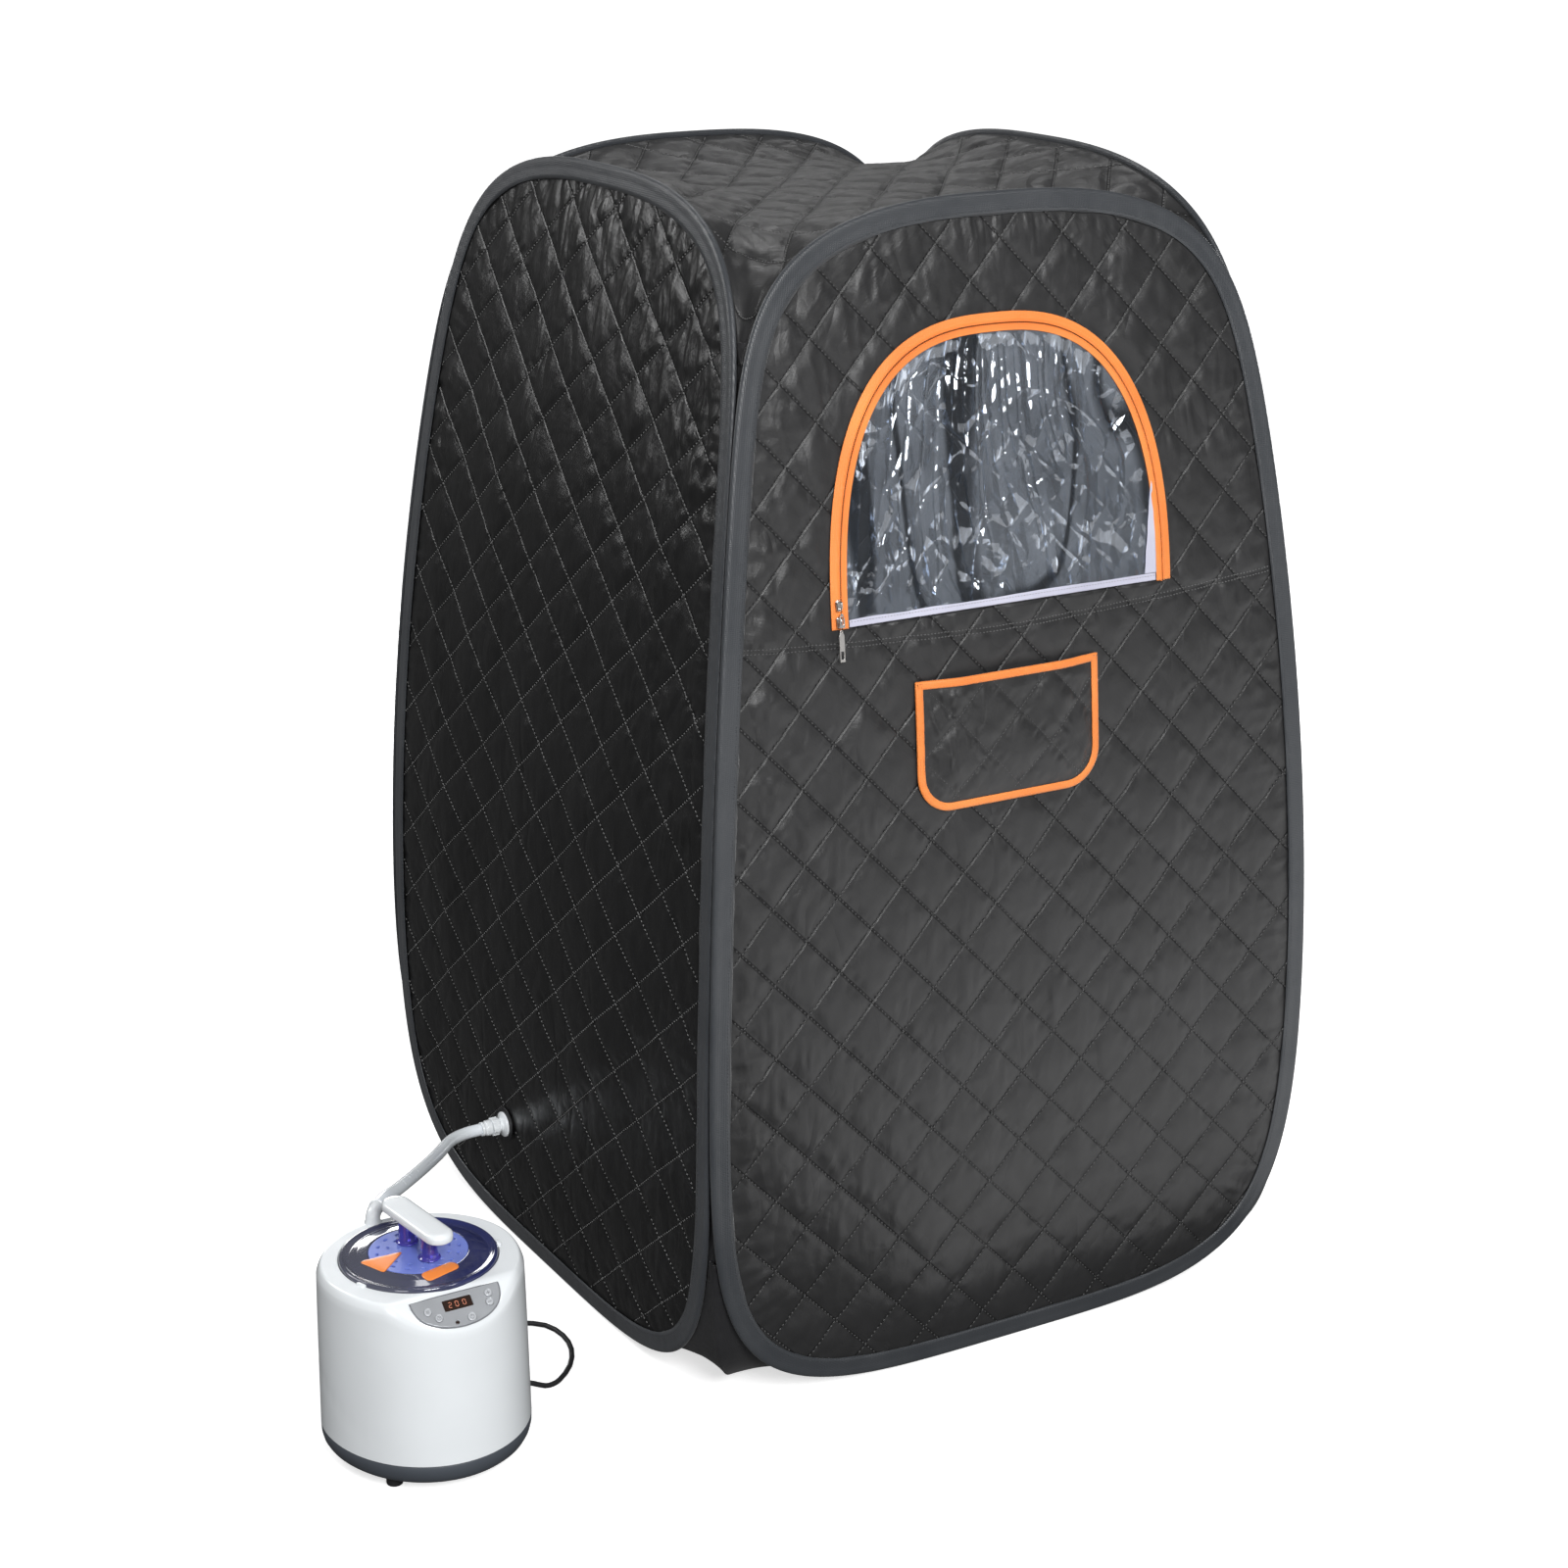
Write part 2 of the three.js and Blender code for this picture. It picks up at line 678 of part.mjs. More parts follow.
function slopeCutter() {
  const block = new THREE.BoxGeometry(400, 200, 100);
  block.translate(0, -100, 50);
  block.rotateX(THREE.MathUtils.degToRad(SLOPE.angle));
  block.translate(0, SLOPE.startY, SLOPE.startZ);
  return block;
}

// The front shoulder's surface starts at the lid's edge and falls forward
function slopePoint(across, down, out) {
  const angle = THREE.MathUtils.degToRad(SLOPE.angle);
  const along = new THREE.Vector3(0, -Math.cos(angle), -Math.sin(angle));
  const normal = new THREE.Vector3(0, -Math.sin(angle), Math.cos(angle));
  const start = new THREE.Vector3(across, SLOPE.startY, SLOPE.startZ);
  return start.addScaledVector(along, down).addScaledVector(normal, out);
}

function onSlope(geometry, across, down, out) {
  geometry.rotateX(THREE.MathUtils.degToRad(SLOPE.angle));
  const at = slopePoint(across, down, out);
  geometry.translate(at.x, at.y, at.z);
  return geometry;
}

// Height and growth of each level of the shell
const SHELL_LEVELS = [[POT.band + GAP, 0], [POT.rim - 26, -3], [POT.rim - 6, -6], [POT.rim, -9]];
const shellOuter = cut(planLoft(SHELL_LEVELS), slopeCutter());
const shellInner = new THREE.BufferGeometry().copy(shellOuter);
shellInner.scale(
  (POT.side - POT.wall) / POT.side,
  (POT.front - POT.wall - 1) / POT.front,
  (POT.rim - POT.wall) / POT.rim
);
shellInner.translate(0, 0, -1);
const shellFoot = planLoft([[POT.band - 10, -POT.wall], [POT.band + 30, -POT.wall - 0.3]]);
addPiece(
  steamPot,
  "pot_shell",
  cut(shellOuter, shellInner, shellFoot, disc(LID.radius + 1, POT.rim - 40, POT.rim + 40), fasciaCutter(0.4)),
  "white"
);
addPiece(
  steamPot,
  "pot_base",
  cut(
    planLoft([[POT.foot, -10], [POT.foot + 8, -3], [POT.band, 0]]),
    planLoft([[POT.foot + 3, -14], [POT.foot + 9, -7], [POT.band + 5, -4]])
  ),
  "slate"
);
const footPlaces = [[-70, -72], [70, -72], [-64, 66], [64, 66]];
footPlaces.forEach(([x, y], i) => {
  addPiece(steamPot, `foot_${i + 1}`, disc(10, 0, POT.foot - GAP, x, y, 16), "rubber");
});

function lathe(profile, sides) {
  const body = new THREE.LatheGeometry(profile.map(([r, z]) => new THREE.Vector2(r, z)), sides);
  body.rotateX(Math.PI / 2);
  return body;
}

const KETTLE = { radius: 78, floor: 62, top: 222, wall: 1.2, lip: 85 };
addPiece(
  steamPot,
  "water_pot",
  lathe(
    [
      [0, KETTLE.floor],
      [KETTLE.radius, KETTLE.floor],
      [KETTLE.radius, KETTLE.top],
      [KETTLE.lip, KETTLE.top],
      [KETTLE.lip, KETTLE.top + KETTLE.wall],
      [KETTLE.radius - KETTLE.wall, KETTLE.top + KETTLE.wall],
      [KETTLE.radius - KETTLE.wall, KETTLE.floor + KETTLE.wall],
      [0, KETTLE.floor + KETTLE.wall],
    ],
    32
  ),
  "steel"
);
addPiece(steamPot, "heating_plate", disc(62, KETTLE.floor - 12, KETTLE.floor - GAP, 0, 0, 32), "steel");
const BOARD = { width: 64, length: 32, thick: 1.6, down: 25, under: 15 };
const board = new THREE.BoxGeometry(BOARD.width, BOARD.length, BOARD.thick);
addPiece(steamPot, "control_board", onSlope(board, 0, BOARD.down, -BOARD.under), "slate");

// ---------------------------------------------------------------- control fascia, display and buttons

// Half-moon outline: a straight upper edge and a round lower one
function fasciaShape(grow) {
  const shape = new THREE.Shape();
  shape.moveTo(-FASCIA.half - grow, grow);
  shape.lineTo(FASCIA.half + grow, grow);
  for (let i = 1; i < 18; i++) {
    const angle = (-i / 18) * Math.PI;
    const drop = Math.pow(Math.abs(Math.sin(angle)), 0.8);
    shape.lineTo((FASCIA.half + grow) * Math.cos(angle), -(FASCIA.height + grow) * drop);
  }
  shape.closePath();
  return shape;
}

function fasciaSlab(grow, thick) {
  return new THREE.ExtrudeGeometry(fasciaShape(grow), { depth: thick, bevelEnabled: false });
}

function fasciaCutter(grow) {
  return onSlope(fasciaSlab(grow, 12), 0, FASCIA.top, -6);
}

// Buttons by name: across the slope, down it, radius
const BUTTONS = [
  ["plus_button", 38, 10, 4.4],
  ["minus_button", 36, 21, 4.4],
  ["mode_button", -37, 15, 4.4],
  ["timer_button", -27, 25, 4.4],
  ["power_button", 10, 33, 5],
];
const DISPLAY = { half: 17, high: 13, down: 13 };
const RECEIVER = { across: -8, down: 35, radius: 2.2 };

function slopeRod(radius, length, across, down, out) {
  const rod = new THREE.CylinderGeometry(radius, radius, length, 14);
  rod.rotateX(Math.PI / 2);
  return onSlope(rod, across, FASCIA.top + down, out);
}

function displayBox(grow, thick) {
  return new THREE.BoxGeometry(2 * (DISPLAY.half + grow), DISPLAY.high + 2 * grow, thick);
}

const fasciaHoles = [
  ...BUTTONS.map(([, across, down, radius]) => slopeRod(radius + GAP, 12, across, down, 0)),
  slopeRod(RECEIVER.radius + GAP, 12, RECEIVER.across, RECEIVER.down, 0),
  onSlope(displayBox(GAP, 12), 0, FASCIA.top + DISPLAY.down, 0),
];
addPiece(
  steamPot,
  "control_fascia",
  cut(onSlope(fasciaSlab(0, FASCIA.thick), 0, FASCIA.top, -FASCIA.thick + 0.6), ...fasciaHoles),
  "silver"
);
addPiece(
  steamPot,
  "display_window",
  onSlope(displayBox(0, FASCIA.thick), 0, FASCIA.top + DISPLAY.down, -FASCIA.thick / 2 + 0.4),
  "display"
);
for (const [name, across, down, radius] of BUTTONS) {
  addPiece(steamPot, name, slopeRod(radius, 3, across, down, 0.4), "white");
}
const receiver = slopeRod(RECEIVER.radius, 2, RECEIVER.across, RECEIVER.down, -0.4);
addPiece(steamPot, "receiver_window", receiver, "rubber");

// ---------------------------------------------------------------- lid: ring, diffuser, seal, posts, bridge

const lid = new THREE.Group();
lid.rotation.z = THREE.MathUtils.degToRad(LID.turn);
steamPot.add(lid);

const RING_Z = POT.rim - 5;
addPiece(
  lid,
  "lid_ring",
  lathe(
    [
      [LID.disc + GAP, RING_Z + LID.rise - 2.4],
      [LID.radius - 12, RING_Z + 2.6],
      [LID.radius - 3, RING_Z],
      [LID.radius, RING_Z],
      [LID.radius, RING_Z + 7],
      [LID.radius - 4, RING_Z + 8.4],
      [LID.radius - 14, RING_Z + 7],
      [LID.disc + GAP, RING_Z + LID.rise + 1.4],
      [LID.disc + GAP, RING_Z + LID.rise - 2.4],
    ],
    36
  ),
  "blue"
);

const DISC_Z = RING_Z + LID.rise - 2;
const holeRings = [[36, 12], [47, 16]];
const steamHoles = holeRings.flatMap(([radius, count], ring) =>
  Array.from({ length: count }, (_, i) => {
    const angle = ((i + ring * 0.5) / count) * Math.PI * 2 + Math.PI / count;
    return disc(2.2, DISC_Z - 10, DISC_Z + 14, radius * Math.cos(angle), radius * Math.sin(angle), 6);
  })
);
addPiece(lid, "steam_diffuser", cut(disc(LID.disc, DISC_Z, DISC_Z + 3.4, 0, 0, 32), ...steamHoles), "blue");
addPiece(
  lid,
  "lid_seal",
  lathe(
    [
      [LID.radius - 11, RING_Z - 2.6],
      [LID.radius - 3, RING_Z - 2.6],
      [LID.radius - 3, RING_Z - GAP],
      [LID.radius - 11, RING_Z - GAP],
      [LID.radius - 11, RING_Z - 2.6],
    ],
    32
  ),
  "rubber"
);

const postFoot = DISC_Z + 3.4 + GAP;
const bridgeUnder = BRIDGE.z - BRIDGE.thick;
for (const [name, y] of [["front", -POST.spread], ["back", POST.spread]]) {
  const stem = disc(POST.radius, postFoot, bridgeUnder - GAP, 0, y, 20);
  const flange = disc(POST.radius + 3, postFoot, postFoot + 3, 0, y, 20);
  addPiece(lid, `lid_post_${name}`, join(stem, flange), "blue");
}

function stadium(length, width, depth) {
  const radius = width / 2;
  const straight = length / 2 - radius;
  const shape = new THREE.Shape();
  shape.absarc(0, straight, radius, 0, Math.PI, false);
  shape.absarc(0, -straight, radius, Math.PI, Math.PI * 2, false);
  shape.closePath();
  return new THREE.ExtrudeGeometry(shape, { depth, bevelEnabled: false, curveSegments: 10 });
}

const bridge = stadium(BRIDGE.length, BRIDGE.width, BRIDGE.thick);
bridge.translate(0, 0, bridgeUnder);
addPiece(lid, "lid_bridge", bridge, "white");

// ---------------------------------------------------------------- steam outlet, hose and port connector

// A round tube along a smooth curve through the given points
function tube(points, radius, steps, sides) {
  const route = points.map(([x, y, z]) => new THREE.Vector3(x, y, z));
  const curve = new THREE.CatmullRomCurve3(route, false, "centripetal");
  const section = Array.from({ length: sides }, (_, i) => {
    const angle = (i / sides) * Math.PI * 2;
    return new THREE.Vector2(radius * Math.cos(angle), radius * Math.sin(angle));
  });
  const options = { steps, extrudePath: curve, bevelEnabled: false };
  return new THREE.ExtrudeGeometry(new THREE.Shape(section), options);
}

// The outlet rises from the pot's back rim and bends over towards the hose port
const ELBOW_ROUTE = [
  [-14, 101.5, POT.rim + 0.4],
  [-14, 101.5, POT.rim + 3],
  [-13, 102.7, 245.5],
  [-9.5, 106.9, 248.9],
  [-4.5, 112.9, 250],
  [-2.9, 114.9, 250],
];
addPiece(steamPot, "steam_elbow", tube(ELBOW_ROUTE, 7.5, 12, 12), "white");

const connectorX = -sideWallX(PORT.z) - QUILT_HALF - 3.5 - POT_AT.x;
const hoseEnd = [connectorX - 34, PORT.y - POT_AT.y, PORT.z - POT_AT.z];
const HOSE_ROUTE = [
  [-1.8, 116.2, 250],
  [14, 136, 246.5],
  [50, 181.5, 230.5],
  [95, 241, 211],
  [138, 298, 193.5],
  [175, 347, 180],
  [204, 385.5, 171.2],
  [216, 398.5, 168.4],
  [229.5, 408.5, 166],
  [243, 415, 164.5],
  [hoseEnd[0] - 8, hoseEnd[1], hoseEnd[2]],
  hoseEnd,
];
addPiece(steamPot, "steam_hose", tube(HOSE_ROUTE, HOSE_RADIUS, 32, 10), "clear");

function alongX(profile, startX) {
  const body = new THREE.LatheGeometry(profile.map(([r, x]) => new THREE.Vector2(r, x)), 18);
  body.rotateZ(-Math.PI / 2);
  body.translate(startX, hoseEnd[1], hoseEnd[2]);
  return body;
}

// Radius and distance along the axis of each turn of the two profiles
const COLLAR_PROFILE = [[0, 0], [9.5, 0], [10.5, 10], [10.5, 14], [0, 14]];
const CONNECTOR_PROFILE = [[0, 0], [12, 0], [12, 10], [9, 11], [9, 14], [17, 17], [17, 19.2], [0, 19.2]];
addPiece(steamPot, "hose_collar", alongX(COLLAR_PROFILE, hoseEnd[0] + GAP), "white");
addPiece(steamPot, "port_connector", alongX(CONNECTOR_PROFILE, hoseEnd[0] + 14 + 2 * GAP), "white");

// ---------------------------------------------------------------- mains lead, coil and plug

const GLAND = { x: 116, y: 27, z: 20, length: 20 };
const LEAD_ROUTE = [
  [GLAND.x + GLAND.length + 2 * GAP, GLAND.y, GLAND.z],
  [GLAND.x + GLAND.length + 3, GLAND.y, GLAND.z],
  [GLAND.x + 36, GLAND.y + 0.4, 14.5],
  [GLAND.x + 52, GLAND.y + 2, 6.2],
  [178, 31, LEAD_RADIUS + 1.2],
  [190, 37, LEAD_RADIUS + 0.5],
  [217, 63, LEAD_RADIUS + 0.2],
  [236, 98, LEAD_RADIUS + 0.2],
  [242, 134, LEAD_RADIUS + 0.2],
  [234, 168, LEAD_RADIUS + 0.2],
  [208, 190, LEAD_RADIUS + 0.2],
  [170, 203, LEAD_RADIUS + 0.2],
  [125, 213, LEAD_RADIUS + 0.2],
  [COIL.x + 12, COIL.y - COIL.mean - COIL.half - 3.8, LEAD_RADIUS + 0.2],
];
addPiece(steamPot, "mains_lead", tube(LEAD_ROUTE, LEAD_RADIUS, 44, 8), "rubber");

const gland = new THREE.CylinderGeometry(3.4, 6, GLAND.length, 12);
gland.rotateZ(-Math.PI / 2);
gland.translate(GLAND.x + GLAND.length / 2 + GAP, GLAND.y, GLAND.z);
addPiece(steamPot, "lead_gland", gland, "rubber");

const coil = lathe(
  [
    [COIL.mean - COIL.half, COIL.z],
    [COIL.mean + COIL.half, COIL.z],
    [COIL.mean + COIL.half, COIL.z + COIL.height],
    [COIL.mean - COIL.half, COIL.z + COIL.height],
    [COIL.mean - COIL.half, COIL.z],
  ],
  32
);
coil.translate(COIL.x, COIL.y, 0);
addPiece(steamPot, "lead_coil", coil, "rubber");

// The plug lies on the floor behind the coil, its short tail leading in
const PLUG_AT = [COIL.x + 10, COIL.y + 72];
const TAIL_ROUTE = [
  [COIL.x - COIL.mean - COIL.half - 4, COIL.y + 8, LEAD_RADIUS + 0.2],
  [COIL.x - COIL.mean - COIL.half - 4, COIL.y + 30, LEAD_RADIUS + 0.4],
  [COIL.x - 36, COIL.y + 58, LEAD_RADIUS + 2],
  [PLUG_AT[0] - 24, PLUG_AT[1], 11.4],
  [PLUG_AT[0] - 20, PLUG_AT[1], 11.4],
  [PLUG_AT[0] - 17.6, PLUG_AT[1], 11.4],
];
addPiece(steamPot, "lead_tail", tube(TAIL_ROUTE, LEAD_RADIUS, 16, 8), "rubber");

function plug() {
  const body = new THREE.CylinderGeometry(11, 9, 34, 20);
  body.rotateZ(-Math.PI / 2);
  body.translate(PLUG_AT[0], PLUG_AT[1], 11.4);
  const pins = [-4.5, 4.5].map((y) => {
    const pin = new THREE.BoxGeometry(18, 6.4, 1.6);
    pin.rotateX(Math.PI / 2);
    pin.translate(PLUG_AT[0] + 25, PLUG_AT[1] + y, 11.4);
    return pin;
  });
  return join(body, ...pins);
}

addPiece(steamPot, "mains_plug", plug(), "rubber");

export default sauna;
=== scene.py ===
import math

import bmesh
import bpy
import numpy as np
from mathutils import Matrix, Vector


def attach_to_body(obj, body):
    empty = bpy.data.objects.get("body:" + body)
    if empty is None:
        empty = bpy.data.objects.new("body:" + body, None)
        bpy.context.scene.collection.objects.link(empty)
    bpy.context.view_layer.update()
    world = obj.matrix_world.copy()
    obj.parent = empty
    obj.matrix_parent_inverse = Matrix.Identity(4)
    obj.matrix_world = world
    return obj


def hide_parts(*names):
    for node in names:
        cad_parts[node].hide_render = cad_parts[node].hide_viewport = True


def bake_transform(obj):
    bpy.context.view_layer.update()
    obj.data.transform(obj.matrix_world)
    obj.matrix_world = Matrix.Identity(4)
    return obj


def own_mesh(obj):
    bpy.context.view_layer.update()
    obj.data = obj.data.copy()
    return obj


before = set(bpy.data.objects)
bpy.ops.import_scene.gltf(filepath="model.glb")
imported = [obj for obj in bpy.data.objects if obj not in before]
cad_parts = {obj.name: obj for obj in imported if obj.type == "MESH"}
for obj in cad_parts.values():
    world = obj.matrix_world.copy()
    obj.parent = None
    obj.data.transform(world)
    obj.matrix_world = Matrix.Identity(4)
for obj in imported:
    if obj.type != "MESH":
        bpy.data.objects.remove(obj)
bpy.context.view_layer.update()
MM = 0.001

# ------------------------------------------------------------------ dimensions shared with the CAD, in mm

HALF_WIDTH, HALF_DEPTH, BELLY_Z = 382, 418, 608
LEAN_X, LEAN_Y, BOW = 0.057, 0.045, 34
FRONT_HEIGHT, SIDE_HEIGHT, SHOULDER_Z = 1400, 1412, 874
TOP_POWER, BOTTOM_POWER = (2.66, 7.9), (4.0, 9.0)
TAPE_HALF, TAPE_WIDTH, QUILT_INSET = 4, 26, 9
WINDOW = {"middle": -20, "half": 233, "sill": 940, "rise": 328, "power": 2.6}
POCKET = {"middle": -22, "half": 125, "bottom": 711, "top": 866, "corner": 45}
PORT = {"y": 107, "z": 164, "hole": 17}
FACE = 2.7
ROOF_JOIN_Z, FLOOR_JOIN_Z = 1245, 200
POT_AT = np.array([-727.0, -310.0, 0.0])

# ------------------------------------------------------------------ helpers: shapes


def field(x, y, step_x, step_y, seed):
    """Smooth noise from -1 to 1 that changes over step_x and step_y."""
    grid = np.random.default_rng(seed).uniform(-1, 1, (97, 97))
    gx, gy = np.asarray(x) / step_x + 1000, np.asarray(y) / step_y + 1000
    ix, iy = np.floor(gx).astype(int), np.floor(gy).astype(int)
    fx, fy = gx - ix, gy - iy
    fx, fy = fx * fx * (3 - 2 * fx), fy * fy * (3 - 2 * fy)
    ix, iy, jx, jy = ix % 97, iy % 97, (ix + 1) % 97, (iy + 1) % 97
    low = grid[ix, iy] * (1 - fx) + grid[jx, iy] * fx
    high = grid[ix, jy] * (1 - fx) + grid[jx, jy] * fx
    return low * (1 - fy) + high * fy


def smooth(x, low, high):
    t = np.clip((np.asarray(x, float) - low) / (high - low), 0, 1)
    return t * t * (3 - 2 * t)


def run_of(line):
    """How far along a line each of its points is."""
    return np.concatenate([[0], np.cumsum(np.linalg.norm(np.diff(line, axis=0), axis=1))])


def turned(points, angle):
    """Points turned about Z."""
    p = np.array(points, float)
    c, s = math.cos(angle), math.sin(angle)
    p[..., 0], p[..., 1] = p[..., 0] * c - p[..., 1] * s, p[..., 0] * s + p[..., 1] * c
    return p


def add_mesh(name, points, faces, material, shade=True, scale=MM):
    """An object from points in mm and faces of any size."""
    data = bpy.data.meshes.new(name)
    data.from_pydata((np.asarray(points, float) * scale).tolist(), [], [tuple(map(int, f)) for f in faces])
    data.validate()
    if shade:
        data.shade_smooth()
    obj = bpy.data.objects.new(name, data)
    bpy.context.scene.collection.objects.link(obj)
    if material:
        data.materials.append(material)
    return obj


def grid_faces(rows, columns, offset=0, flip=False, keep=None):
    i, j = np.meshgrid(np.arange(rows - 1), np.arange(columns - 1), indexing="ij")
    a = i * columns + j
    quads = np.stack([a, a + 1, a + columns + 1, a + columns], -1).reshape(-1, 4) + offset
    if keep is not None:
        quads = quads[keep.ravel()]
    return quads[:, ::-1] if flip else quads


def border_edges(quads):
    """Edges that only one quad has, each in that quad's own direction."""
    start, end = quads.ravel(), np.roll(quads, -1, axis=1).ravel()
    key = np.minimum(start, end) * 10_000_000 + np.maximum(start, end)
    _, first, count = np.unique(key, return_index=True, return_counts=True)
    alone = first[count == 1]
    return np.stack([start[alone], end[alone]], -1)


def thick_sheet(outer, inner, keep=None):
    """Points and faces of a closed sheet from two grids of points; keep says which cells are there."""
    rows, columns = outer.shape[:2]
    count = rows * columns
    points = np.concatenate([outer.reshape(-1, 3), inner.reshape(-1, 3)])
    front = grid_faces(rows, columns, 0, False, keep)
    back = grid_faces(rows, columns, count, True, keep)
    edges = border_edges(front)
    sides = np.stack([edges[:, 1], edges[:, 0], edges[:, 0] + count, edges[:, 1] + count], -1)
    faces = np.concatenate([front, back, sides])
    used = np.zeros(len(points), bool)
    used[faces.ravel()] = True
    renumber = np.cumsum(used) - 1
    return points[used], renumber[faces]


def rings_mesh(rings, closed=False, caps=True):
    """Points and faces of a body through rings of points, closed in a loop or capped at both ends."""
    count, sides = rings.shape[:2]
    last = count if closed else count - 1
    i, j = np.meshgrid(np.arange(last), np.arange(sides), indexing="ij")
    here, there, k = i * sides, ((i + 1) % count) * sides, (j + 1) % sides
    quads = np.stack([here + j, here + k, there + k, there + j], -1).reshape(-1, 4)
    faces = [tuple(q) for q in quads]
    if caps and not closed:
        faces.append(tuple(range(sides - 1, -1, -1)))
        faces.append(tuple(range((count - 1) * sides, count * sides)))
    return rings.reshape(-1, 3), faces


def smooth_route(points, per=8):
    """A centripetal Catmull-Rom curve through the points, per steps in each span."""
    p = np.asarray(points, float)
    p = np.concatenate([[2 * p[0] - p[1]], p, [2 * p[-1] - p[-2]]])
    out = []
    for k in range(len(p) - 3):
        a, b, c, d = p[k : k + 4]
        knots = np.cumsum([0] + [np.linalg.norm(e) ** 0.5 for e in (b - a, c - b, d - c)])
        for t in knots[1] + (knots[2] - knots[1]) * np.arange(per) / per:
            def mix(u, v, i, j):
                return ((knots[j] - t) * u + (t - knots[i]) * v) / (knots[j] - knots[i])
            ab, bc, cd = mix(a, b, 0, 1), mix(b, c, 1, 2), mix(c, d, 2, 3)
            out.append(mix(mix(ab, bc, 0, 2), mix(bc, cd, 1, 3), 1, 2))
    return np.array(out + [p[-2]])


def tube_rings(route, radius, sides=16):
    """Rings round a route, turned as little as possible from one to the next."""
    route = np.asarray(route, float)
    along = np.gradient(route, axis=0)
    along /= np.linalg.norm(along, axis=1)[:, None]
    normal = np.cross(along[0], [0.3, 0.1, 1.0])
    angles = np.arange(sides) * 2 * np.pi / sides
    radius = np.broadcast_to(radius, len(route))
    rings = []
    for place, way, r in zip(route, along, radius):
        normal = normal - way * (normal @ way)
        normal /= np.linalg.norm(normal)
        other = np.cross(way, normal)
        rings.append(place + r * (np.cos(angles)[:, None] * normal + np.sin(angles)[:, None] * other))
    return np.array(rings)


def lathe_rings(profile, sides=48):
    """Rings round Z through (radius, z) points."""
    angles = np.arange(sides) * 2 * np.pi / sides
    circle = np.stack([np.cos(angles), np.sin(angles), 0 * angles], -1)
    return np.array([circle * [r, r, 0] + [0, 0, z] for r, z in profile])


def ring_mesh(profile, sides):
    """Points and faces of a ring: a closed (radius, z) profile swept round Z."""
    return rings_mesh(np.swapaxes(lathe_rings(profile, sides), 0, 1), closed=True)


def rounded(profile, radius, steps=4, closed=False):
    """An outline with its corners rounded."""
    profile = np.asarray(profile, float)
    count = len(profile)
    out = []
    for k in range(count):
        before, here, after = profile[k - 1], profile[k], profile[(k + 1) % count]
        if not closed and k in (0, count - 1):
            out.append(here)
            continue
        reach = min(radius, 0.45 * np.linalg.norm(before - here), 0.45 * np.linalg.norm(after - here))
        start = here + (before - here) / np.linalg.norm(before - here) * reach
        end = here + (after - here) / np.linalg.norm(after - here) * reach
        for t in np.linspace(0, 1, steps + 1):
            out.append((1 - t) ** 2 * start + 2 * t * (1 - t) * here + t * t * end)
    return np.array(out)


def plate(name, loops, thick, bevel, material, matrix):
    """A flat plate in mm with holes and rounded edges: the first loop is its outline, matrix places it."""
    curve = bpy.data.curves.new(name, "CURVE")
    curve.dimensions, curve.fill_mode = "2D", "BOTH"
    curve.extrude, curve.bevel_depth, curve.bevel_resolution = thick / 2 - bevel, bevel, 2
    curve.offset = -bevel
    for loop in loops:
        spline = curve.splines.new("POLY")
        spline.points.add(len(loop) - 1)
        for point, (x, y) in zip(spline.points, loop):
            point.co = (x, y, 0, 1)
        spline.use_cyclic_u = True
    maker = bpy.data.objects.new(name + "_outline", curve)
    bpy.context.scene.collection.objects.link(maker)
    data = bpy.data.meshes.new_from_object(maker.evaluated_get(bpy.context.evaluated_depsgraph_get()))
    bpy.data.objects.remove(maker)
    bpy.data.curves.remove(curve)
    data.transform(Matrix(matrix))
    data.transform(Matrix.Scale(MM, 4))
    data.name = name
    obj = bpy.data.objects.new(name, data)
    bpy.context.scene.collection.objects.link(obj)
    data.materials.clear()
    data.materials.append(material)
    return obj


def box_outline(half_x, half_y, radius=0.25, steps=2):
    corners = [(-half_x, -half_y), (half_x, -half_y), (half_x, half_y), (-half_x, half_y)]
    return rounded(corners, radius, steps, closed=True)


def circle(radius, x=0.0, y=0.0, steps=32):
    angles = np.arange(steps) * 2 * np.pi / steps
    return np.stack([x + radius * np.cos(angles), y + radius * np.sin(angles)], -1)


def stitches(places, alongs, outs, length, width, high):
    """Small pointed stitches, one at each place, as points and faces."""
    alongs = alongs / np.linalg.norm(alongs, axis=1)[:, None]
    outs = outs / np.linalg.norm(outs, axis=1)[:, None]
    cross = np.cross(alongs, outs)
    shape = [(0.5 * length, 0, -0.2 * high), (-0.5 * length, 0, -0.2 * high), (0, 0.5 * width, 0),
             (0, -0.5 * width, 0), (0.1 * length, 0, high), (0, 0, -high)]
    points = np.stack([places + a * alongs + c * cross + h * outs for a, c, h in shape], 1)
    pattern = np.array([(0, 2, 4), (2, 1, 4), (1, 3, 4), (3, 0, 4), (2, 0, 5), (1, 2, 5), (3, 1, 5), (0, 3, 5)])
    faces = (np.arange(len(places))[:, None, None] * 6 + pattern).reshape(-1, 3)
    return points.reshape(-1, 3), faces


# ------------------------------------------------------------------ helpers: pieces


